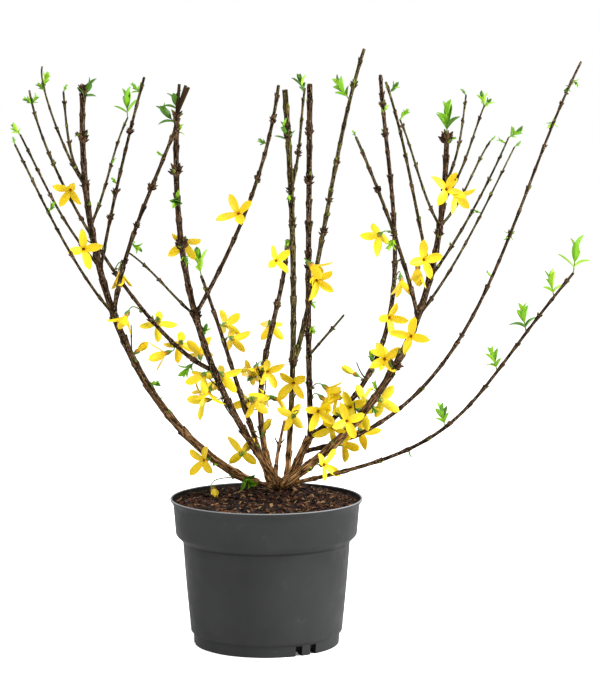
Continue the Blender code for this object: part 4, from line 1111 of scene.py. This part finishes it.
class SHRUB_OT_wood(bpy.types.Operator):
    """Boughs and twigs, each a tapering limb with bark relief and swollen joints"""

    bl_idname = "shrub.wood"
    bl_label = "Boughs and twigs"

    def execute(self, context):
        settings = context.scene.wood
        dice = np.random.default_rng(3)
        limbs = {True: [], False: []}
        for name, wood in plant().items():
            thick = name in BOUGHS
            sides = settings.bough_sides if thick else settings.twig_sides
            limbs[thick].append(limb_bmesh(wood, sides, settings.ring_spacing, dice))
        limbs[False] += self.spurs(dice) + self.stubs()
        bark = bark_finish("bark", settings)
        for thick, name, nodes in ((True, "bough_wood", BOUGH_NODES), (False, "twig_wood", TOP_NODES)):
            mesh = mesh_from(name, joined(limbs[thick]))
            mesh.shade_smooth()
            add_piece(name, mesh, [bark], nodes)
        return {"FINISHED"}

    def spurs(self, dice):
        """Short side twigs, each curving up from its limb."""
        made = []
        for name, share, heading, rise, length in SPURS:
            ahead = direction(heading, rise) * length / 3
            lift = direction(heading, min(rise + SPUR_LIFT, 85)) * length / 3
            start = plant()[name].point(share)
            tip = start / MM + ahead + lift * 2
            limb = Limb(name, share, tuple(ahead), tuple(lift), tuple(tip), *SPUR_RADII)
            made.append(limb_bmesh(Wood("spur", limb, start, dice), 8, 0.0015, dice))
        return made

    def stubs(self):
        """Pruned stubs at the head of the inner left stem, cut square."""
        head = plant()["left_inner"].point(1.0)
        made = []
        for heading, rise in CUT_STUBS:
            lean = direction(heading, rise)
            bm = bmesh.new()
            foot, tip = CUT_STUB_RADII
            bmesh.ops.create_cone(bm, cap_ends=True, segments=12, radius1=foot, radius2=tip,
                                  depth=CUT_STUB_LENGTH, matrix=laid(head + lean * CUT_STUB_LENGTH / 2, lean))
            made.append(bm)
        return made


class SHRUB_OT_buds(bpy.types.Operator):
    """Pairs of pointed buds at the joints, and crowded rosettes of them at the knobs"""

    bl_idname = "shrub.buds"
    bl_label = "Buds"

    COLOURS = {"bud_brown": (0.062, 0.032, 0.015), "bud_dark": (0.018, 0.010, 0.006),
               "bud_green": (0.085, 0.120, 0.016)}
    THICK_WOOD = 0.0022  # radius over which a joint may bear more than two buds
    CROWD = 3800  # buds of a rosette for each metre of its half width

    def execute(self, context):
        dice = np.random.default_rng(5)
        shapes = [self.bud(dice) for _ in range(6)]
        heap = Heap()
        for wood in plant().values():
            self.add_pairs(heap, shapes, wood, dice)
            for share, half_width in KNOBS.get(wood.name, ()):
                self.add_rosette(heap, shapes, wood, share, half_width * MM, dice)
        finishes = [self.finish(name, colour) for name, colour in self.COLOURS.items()]
        add_piece("winter_buds", heap.mesh("winter_buds"), finishes)
        return {"FINISHED"}

    def bud(self, dice):
        """A pointed bud one unit long, its foot at the origin, ringed by overlapping scales."""
        bm = bmesh.new()
        bmesh.ops.create_uvsphere(bm, u_segments=7, v_segments=7, radius=0.5,
                                  matrix=Matrix.Translation((0, 0, 0.5)))
        bend = dice.uniform(-0.12, 0.12)
        for vert in bm.verts:
            x, y, z = vert.co
            width = 0.3224 * (sin(pi * min(max(z, 0), 1) ** 0.75) + 0.15) * (1 - 0.45 * z)
            ruffle = 1 + 0.16 * sin(z * 17)
            away = vert.co.xy.length
            share = width * ruffle / away if away > 1e-5 else 0
            vert.co = Vector((x * share + bend * z * z, y * share, z))
        return Shape(bm)

    def add_pairs(self, heap, shapes, wood, dice):
        """Two buds across from each other at each joint, and more of them on thick wood sometimes."""
        if not wood.joints:
            return
        centres, sideways, up, headings = wood.frames(np.array([0, *(where for where, _ in wood.joints)]))
        for i, (where, turn) in enumerate(wood.joints, 1):
            radius = wood.radius(where / wood.length)
            for side in (0, pi):
                for extra in range(2 if radius > self.THICK_WOOD and dice.uniform() < 0.5 else 1):
                    angle = turn + side + extra * dice.uniform(-0.7, 0.7)
                    out = Vector(sideways[i] * cos(angle) + up[i] * sin(angle))
                    lean = (Vector(headings[i]) + out * dice.uniform(0.25, 0.55)).normalized()
                    foot = Vector(centres[i]) + out * radius * 0.85
                    length = dice.uniform(0.0028, 0.0043) * (1 + radius * 110)
                    finish = int(dice.choice(3, p=(0.45, 0.35, 0.20)))
                    place = laid(foot, lean, (length * 0.80, length * 0.80, length))
                    heap.add(shapes[dice.integers(6)], place, [finish])

    def add_rosette(self, heap, shapes, wood, share, half_width, dice):
        """A crowd of buds round a joint, spreading outwards and up."""
        centre = wood.point(share)
        ahead = wood.heading(share)
        side = ahead.orthogonal().normalized()
        low, high = (-0.65, 0.45) if share < 1 else (-1.1, -0.1)
        for i in range(round(half_width * self.CROWD)):
            out = Matrix.Rotation(i * GOLDEN_ANGLE, 3, ahead) @ side
            level = dice.uniform(low, high) * half_width
            foot = centre + ahead * level + out * wood.radius(share) * 0.7
            lean = (out + ahead * dice.uniform(0.5, 1.7)).normalized()
            length = half_width * dice.uniform(0.72, 1.15)
            finish = int(dice.choice(3, p=(0.50, 0.42, 0.08)))
            place = laid(foot, lean, (length * 0.72, length * 0.72, length))
            heap.add(shapes[dice.integers(6)], place, [finish])

    def finish(self, name, colour):
        """Dull scales of mixed tone."""
        finish, _ = mottled(name, colour, 0.80, 0.05, 1300.0, shade(colour, 0.5), shade(colour, 1.5))
        return finish.material


class SHRUB_OT_blossom(bpy.types.Operator):
    """Yellow blossoms, each with four long petals on a green calyx and a curved stalk"""

    bl_idname = "shrub.blossom"
    bl_label = "Blossom"

    TUBE = 0.0050  # length of the flower's tube
    TUBE_RADII = (0.0010, 0.0021)
    CUP_DEPTH = 0.0018  # how far behind the tube the stalk ends
    ANTHER = 0.0006
    PETAL_THICKNESS = 0.00035
    # Shares of a petal's length, and its width there against the widest
    PETAL_OUTLINE = ((0, 0.08, 0.20, 0.35, 0.52, 0.70, 0.84, 0.93, 0.98, 1.0),
                     (0.44, 0.52, 0.74, 0.94, 1.0, 0.93, 0.74, 0.50, 0.28, 0.10))
    CLOSED = 0.35  # opening in radians under which a flower is a hanging bell
    FOOT_LEAN = 0.2  # how far a petal leans out where it leaves the tube, in radians
    LOBE = (0.0004, 0.0012, 0.0028)
    STALK_BEAD = (0.00068, 0.00068, 0.0012)
    BEAD_SPACING = 0.0008
    BUD_SCALE = (0.0006, 0.0010, 0.0020)

    def execute(self, context):
        settings = context.scene.blossom
        dice = np.random.default_rng(23)
        petals = Heap()
        stalks = Heap()
        cup = self.cup()
        ball = primitive(bmesh.ops.create_icosphere, subdivisions=1, radius=1)
        for name, rows in BLOSSOMS.items():
            for bloom in (Bloom(*row) for row in rows):
                base = plant()[name].point(bloom.at)
                throat = base + direction(bloom.heading, bloom.rise) * bloom.reach * MM
                facing = direction(bloom.face, bloom.tilt)
                place = laid(throat, facing)
                colour = int(dice.choice(3, p=(0.5, 0.3, 0.2)))
                flower = self.flower(settings, radians(bloom.roll), radians(bloom.opening), dice)
                petals.add(flower, place, [colour, 3, 4])
                stalks.add(cup, place, [0])
                foot = throat - facing * (self.TUBE + self.CUP_DEPTH)
                self.add_stalk(stalks, ball, base, foot, facing, dice)
        yellow = tuple(settings.colour)
        finishes = [self.petal("petal_yellow", yellow),
                    self.petal("petal_warm", (yellow[0], yellow[1] * 0.97, yellow[2])),
                    self.petal("petal_light", (yellow[0], yellow[1] * 1.10, yellow[2] * 3.0)),
                    Finish("throat", tuple(settings.throat_colour), 0.5, 0.3).material,
                    Finish("anther", (0.26, 0.085, 0.004), 0.6, 0.2).material]
        add_piece("blossom", petals.mesh("blossom", 60), finishes)
        greens = [Finish("calyx_green", (0.060, 0.150, 0.010), 0.6, 0.2).material,
                  Finish("stalk_brown", (0.070, 0.055, 0.012), 0.7, 0.2).material]
        add_piece("blossom_stalks", stalks.mesh("blossom_stalks", 60), greens)
        return {"FINISHED"}

    def flower(self, settings, roll, opening, dice):
        """One flower: its throat is the origin and its axis is +Z."""
        bm = bmesh.new()
        foot, mouth = self.TUBE_RADII
        bmesh.ops.create_cone(bm, cap_ends=False, segments=12, radius1=foot, radius2=mouth, depth=self.TUBE,
                              matrix=Matrix.Translation((0, 0, -self.TUBE / 2)))
        bmesh.ops.solidify(bm, geom=bm.faces[:], thickness=0.0003)
        tube_faces = len(bm.faces)
        for side in (-1, 1):
            place = Matrix.Translation((side * self.ANTHER, 0, -0.0004)) @ Matrix.Diagonal((1, 1, 2.2, 1))
            bmesh.ops.create_icosphere(bm, subdivisions=1, radius=self.ANTHER, matrix=place)
        for i, face in enumerate(bm.faces):
            face.material_index = 1 if i < tube_faces else 2
        for k in range(4):
            self.add_petal(bm, settings, opening, roll + k * pi / 2, k, dice)
        return Shape(bm)

    def add_petal(self, bm, settings, opening, turn, k, dice):
        """A long petal that springs from the tube, bends outwards and rolls a little."""
        sheet = bmesh.new()
        rows, columns = 12, 4
        bmesh.ops.create_grid(sheet, x_segments=columns, y_segments=rows, size=0.5)
        closed = opening < self.CLOSED
        length = settings.petal_length * dice.uniform(0.90, 1.08) * (0.72 if closed else 1)
        width = settings.petal_width * dice.uniform(0.90, 1.08) * (0.85 if closed else 1)
        spread = opening + (0 if closed else dice.normal(0, 0.10))
        curl = -0.5 if closed else dice.uniform(-0.25, 0.45)
        twist = 0 if closed else dice.normal(0, 0.28)
        cup = 0.9 if closed else dice.uniform(0.10, 0.50)
        wave = 0 if closed else dice.normal(0, 0.10)
        steps = 40
        shares = np.linspace(0, 1, steps + 1)
        angle = self.FOOT_LEAN + (spread - self.FOOT_LEAN) * smooth_step(shares / 0.20) + curl * shares**2
        out = np.concatenate([[0], np.cumsum(np.sin(angle[1:]) / steps)]) * length
        rise = np.concatenate([[0], np.cumsum(np.cos(angle[1:]) / steps)]) * length
        for vert in sheet.verts:
            share, across = vert.co.y + 0.5, vert.co.x * 2
            half = np.interp(share, *self.PETAL_OUTLINE) * width / 2
            share = share - 0.035 * across * across * share
            lean = np.interp(share, shares, angle)
            x = np.interp(share, shares, out) + 0.0014
            z = np.interp(share, shares, rise)
            roll = twist * share
            lift = cup * half * across * across + wave * half * across * sin(5 * share)
            flat = across * half
            y = flat * cos(roll) - lift * sin(roll)
            up = flat * sin(roll) + lift * cos(roll) + 0.00012 * k
            vert.co = Vector((x - up * cos(lean), y, -0.0008 + z + up * sin(lean)))
        bmesh.ops.recalc_face_normals(sheet, faces=sheet.faces)
        feet = sorted(sheet.faces, key=lambda face: face.calc_center_median().length)
        for face in feet[:columns]:
            face.material_index = 1
        bmesh.ops.solidify(sheet, geom=sheet.faces[:], thickness=self.PETAL_THICKNESS)
        bmesh.ops.rotate(sheet, verts=sheet.verts, cent=(0, 0, 0), matrix=Matrix.Rotation(turn, 3, "Z"))
        pour(sheet, bm)

    def cup(self):
        """Green cup behind the tube, with its four small lobes."""
        bm = bmesh.new()
        foot = -self.TUBE - 0.0004
        bmesh.ops.create_cone(bm, cap_ends=True, segments=8, radius1=0.0007, radius2=0.0016, depth=0.0028,
                              matrix=Matrix.Translation((0, 0, foot)))
        for k in range(4):
            turn = Matrix.Rotation(k * pi / 2 + pi / 4, 4, "Z")
            lobe = turn @ Matrix.Translation((0.0016, 0, foot + 0.0010)) @ Matrix.Rotation(0.30, 4, "Y")
            lobe = lobe @ Matrix.Translation((0, 0, 0.0018)) @ Matrix.Diagonal((*self.LOBE, 1))
            bmesh.ops.create_icosphere(bm, subdivisions=1, radius=1, matrix=lobe)
        bmesh.ops.recalc_face_normals(bm, faces=bm.faces)
        return Shape(bm)

    def add_stalk(self, heap, ball, base, foot, facing, dice):
        """A thin stalk of beads that bends from the wood into the cup, with four scales at its foot. It is
        led round the flower where that faces back at its own wood."""
        away = foot - base
        span = away.length
        ahead = away.normalized()
        bend = foot - facing * span * 0.45
        if ahead.dot(facing) <= -0.5:
            bend = foot - facing * 0.004 + facing.orthogonal().normalized() * 0.009
        start = base + away * 0.15
        steps = max(4, round(span / self.BEAD_SPACING))
        for step in range(steps + 1):
            t = step / steps
            where = start * (1 - t) ** 2 + bend * 2 * t * (1 - t) + foot * t * t
            along = ((bend - start) * (1 - t) + (foot - bend) * t).normalized()
            heap.add(ball, laid(where, along, self.STALK_BEAD), [1 if t < 0.45 else 0])
        for k in range(4):
            lean = (ahead + direction(dice.uniform(0, 360), dice.uniform(-60, 60)) * 0.7).normalized()
            place = laid(start + ahead * 0.001 + lean * 0.0012, lean, self.BUD_SCALE)
            heap.add(ball, place, [k % 2])

    def petal(self, name, colour):
        """Soft petal skin that lets a little light in."""
        dark = (colour[0] * 0.95, colour[1] * 0.90, colour[2])
        finish, veins = mottled(name, colour, 0.50, 0.20, 700.0, dark, colour)
        finish.relief(veins, 0.0002, 0.15)
        finish.shader.inputs["Subsurface Weight"].default_value = 0.15
        finish.shader.inputs["Subsurface Radius"].default_value = (1.0, 0.7, 0.1)
        finish.shader.inputs["Subsurface Scale"].default_value = 0.002
        return finish.material


class SHRUB_OT_shoots(bpy.types.Operator):
    """Young shoots: pairs of small folded leaves on short green stems"""

    bl_idname = "shrub.shoots"
    bl_label = "Young shoots"

    # Shares of a leaf's length, and its width there against the widest
    LEAF_OUTLINE = ((0, 0.12, 0.3, 0.5, 0.7, 0.88, 1.0), (0.12, 0.42, 0.84, 1.0, 0.94, 0.62, 0.06))
    LEAF_THICKNESS = 0.03  # against the length
    STEM_RADIUS = 0.0007
    SMALL_SHOOT, MIDDLE_SHOOT = 0.012, 0.022  # lengths under which a shoot has two pairs, and a short stem
    SPREADS = (0.80, 0.42, 0.15)  # how far each pair leans out, the last one at the tip

    def execute(self, context):
        settings = context.scene.shoot
        dice = np.random.default_rng(31)
        heap = Heap()
        leaves = [self.leaf(settings, dice) for _ in range(8)]
        stem = primitive(bmesh.ops.create_cone, cap_ends=True, segments=6, radius1=1.0, radius2=0.7,
                         depth=1.0, matrix=Matrix.Translation((0, 0, 0.5)))
        for name, rows in SHOOTS.items():
            for share, heading, rise, length in rows:
                base = plant()[name].point(share)
                self.add_shoot(heap, leaves, stem, base, direction(heading, rise), length * MM, dice)
        colour = tuple(settings.colour)
        finishes = [self.finish("leaf_green", colour),
                    self.finish("leaf_deep", tuple(c * by for c, by in zip(colour, (0.36, 0.45, 0.6)))),
                    self.finish("leaf_light", tuple(c * by for c, by in zip(colour, (1.6, 1.30, 1.4)))),
                    self.finish("shoot_stem", (0.090, 0.150, 0.014))]
        add_piece("young_leaves", heap.mesh("young_leaves", 60), finishes)
        return {"FINISHED"}

    def leaf(self, settings, dice):
        """A leaf one unit long, its foot at the origin and its tip along +Z, folded and bent back."""
        bm = bmesh.new()
        bmesh.ops.create_grid(bm, x_segments=4, y_segments=7, size=0.5)
        fold = dice.uniform(0.25, 0.7)
        bend = dice.uniform(0.05, 0.40)
        for vert in bm.verts:
            share, across = vert.co.y + 0.5, vert.co.x * 2
            half = np.interp(share, *self.LEAF_OUTLINE) * settings.leaf_width / 2
            vert.co = Vector((bend * share**2 - fold * half * abs(across), across * half * (1 - fold * 0.25),
                              share * (1 - 0.25 * bend * share)))
        bmesh.ops.recalc_face_normals(bm, faces=bm.faces)
        bmesh.ops.solidify(bm, geom=bm.faces[:], thickness=self.LEAF_THICKNESS)
        return Shape(bm)

    def add_shoot(self, heap, leaves, stem, base, towards, length, dice):
        """Pairs of leaves, each pair square to the last, the lower ones open and the upper ones closed."""
        pairs = 2 if length < self.SMALL_SHOOT else 3
        rise = length * (0.30 if length < self.MIDDLE_SHOOT else 0.42)
        heap.add(stem, laid(base, towards, (self.STEM_RADIUS, self.STEM_RADIUS, rise + 0.001)), [3])
        tone = int(dice.choice(3, p=(0.5, 0.2, 0.3)))
        turn = dice.uniform(0, pi)
        for pair in range(pairs):
            level = rise * (0.35 + 0.65 * pair / (pairs - 1))
            blade = length * (0.66 - 0.03 * pair) * (1.0 if pair else 0.85)
            spread = self.SPREADS[pair - pairs]
            for side in (0, pi):
                lean = spread * dice.uniform(0.75, 1.25)
                place = laid(base + towards * level, towards)
                place = place @ Matrix.Rotation(turn + side + dice.normal(0, 0.15), 4, "Z")
                place = place @ Matrix.Rotation(lean, 4, "Y")
                place = place @ Matrix.Scale(blade * dice.uniform(0.85, 1.12), 4)
                leaf = leaves[dice.integers(8)]
                heap.add(leaf, place, [tone if dice.uniform() < 0.60 else int(dice.integers(3))])
            turn += pi / 2

    def finish(self, name, colour):
        """Fresh leaf skin, faintly veined."""
        dark, light = shade(colour, 0.72), shade(colour, 1.18)
        finish, veins = mottled(name, colour, 0.50, 0.16, 1100.0, dark, light)
        finish.relief(veins, 0.0004, 0.5)
        return finish.material


class SHRUB_OT_stage(bpy.types.Operator):
    """Pale studio floor, soft light and the camera"""

    bl_idname = "shrub.stage"
    bl_label = "Stage"

    def execute(self, context):
        settings = context.scene.stage
        bm = bmesh.new()
        bmesh.ops.create_circle(bm, cap_ends=True, radius=FLOOR_RADIUS, segments=96)
        mesh = mesh_from("studio_floor", bm)
        pale = tuple(settings.floor_colour)
        finish = Finish("studio_floor", pale, 0.9, 0.1)
        finish.colour_from(finish.mix(finish.grain(finish.place(), 3.0, 2.0), shade(pale, 0.985), pale))
        finish.shader.inputs["Emission Color"].default_value = (1, 1, 1, 1)
        finish.shader.inputs["Emission Strength"].default_value = settings.floor_glow
        mesh.materials.append(finish.material)
        floor = placed("studio_floor", mesh)
        for name, power, size, where in LAMPS:
            self.lamp(name, settings.key * power, size, where)
        world = bpy.data.worlds.new("studio")
        world.use_nodes = True
        light = world.node_tree.nodes["Background"]
        light.inputs["Color"].default_value = (1, 1, 1, 1)
        light.inputs["Strength"].default_value = settings.ambient
        context.scene.world = world
        context.scene.view_settings.view_transform = "Standard"
        camera = placed("camera", bpy.data.cameras.new("camera"))
        camera.data.lens = settings.lens
        camera.data.sensor_width = 36
        camera.data.clip_start = 0.05
        camera.location = CAMERA_PLACE
        camera.rotation_euler = (pi / 2 - settings.tilt, 0, 0)
        context.scene.camera = camera
        return {"FINISHED"}

    def lamp(self, name, power, size, where):
        """A square soft light aimed at the middle of the shrub."""
        light = bpy.data.lights.new(name, "AREA")
        light.energy = power
        light.size = size
        lamp = placed(name, light)
        lamp.location = where
        aim = Vector(LAMP_AIM) - Vector(where)
        lamp.rotation_euler = aim.to_track_quat("-Z", "Y").to_euler()


class SHRUB_PT_sidebar(bpy.types.Panel):
    """The shrub's pieces and sizes"""

    bl_label = "Potted shrub"
    bl_idname = "SHRUB_PT_sidebar"
    bl_space_type = "VIEW_3D"
    bl_region_type = "UI"
    bl_category = "Shrub"

    def draw(self, context):
        for step in STEPS:
            self.layout.operator(step.bl_idname)
        for group in SETTINGS:
            box = self.layout.box()
            box.label(text=group.capitalize())
            values = getattr(context.scene, group)
            for name in values.bl_rna.properties.keys():
                if name not in ("rna_type", "name"):
                    box.prop(values, name)


SETTINGS = {"pot": PotSettings, "wood": WoodSettings, "blossom": BlossomSettings, "shoot": ShootSettings,
            "stage": StageSettings}
STEPS = (SHRUB_OT_pot, SHRUB_OT_potting_mix, SHRUB_OT_root_crown, SHRUB_OT_wood, SHRUB_OT_buds,
         SHRUB_OT_blossom, SHRUB_OT_shoots, SHRUB_OT_stage)


def register():
    for group in SETTINGS.values():
        bpy.utils.register_class(group)
    for name, group in SETTINGS.items():
        setattr(bpy.types.Scene, name, PointerProperty(type=group))
    for step in (*STEPS, SHRUB_PT_sidebar):
        bpy.utils.register_class(step)


def unregister():
    for step in (SHRUB_PT_sidebar, *reversed(STEPS)):
        bpy.utils.unregister_class(step)
    for name, group in SETTINGS.items():
        delattr(bpy.types.Scene, name)
        bpy.utils.unregister_class(group)


def main():
    register()
    for step in STEPS:
        family, name = step.bl_idname.split(".")
        getattr(getattr(bpy.ops, family), name)()


if __name__ == "__main__":
    main()
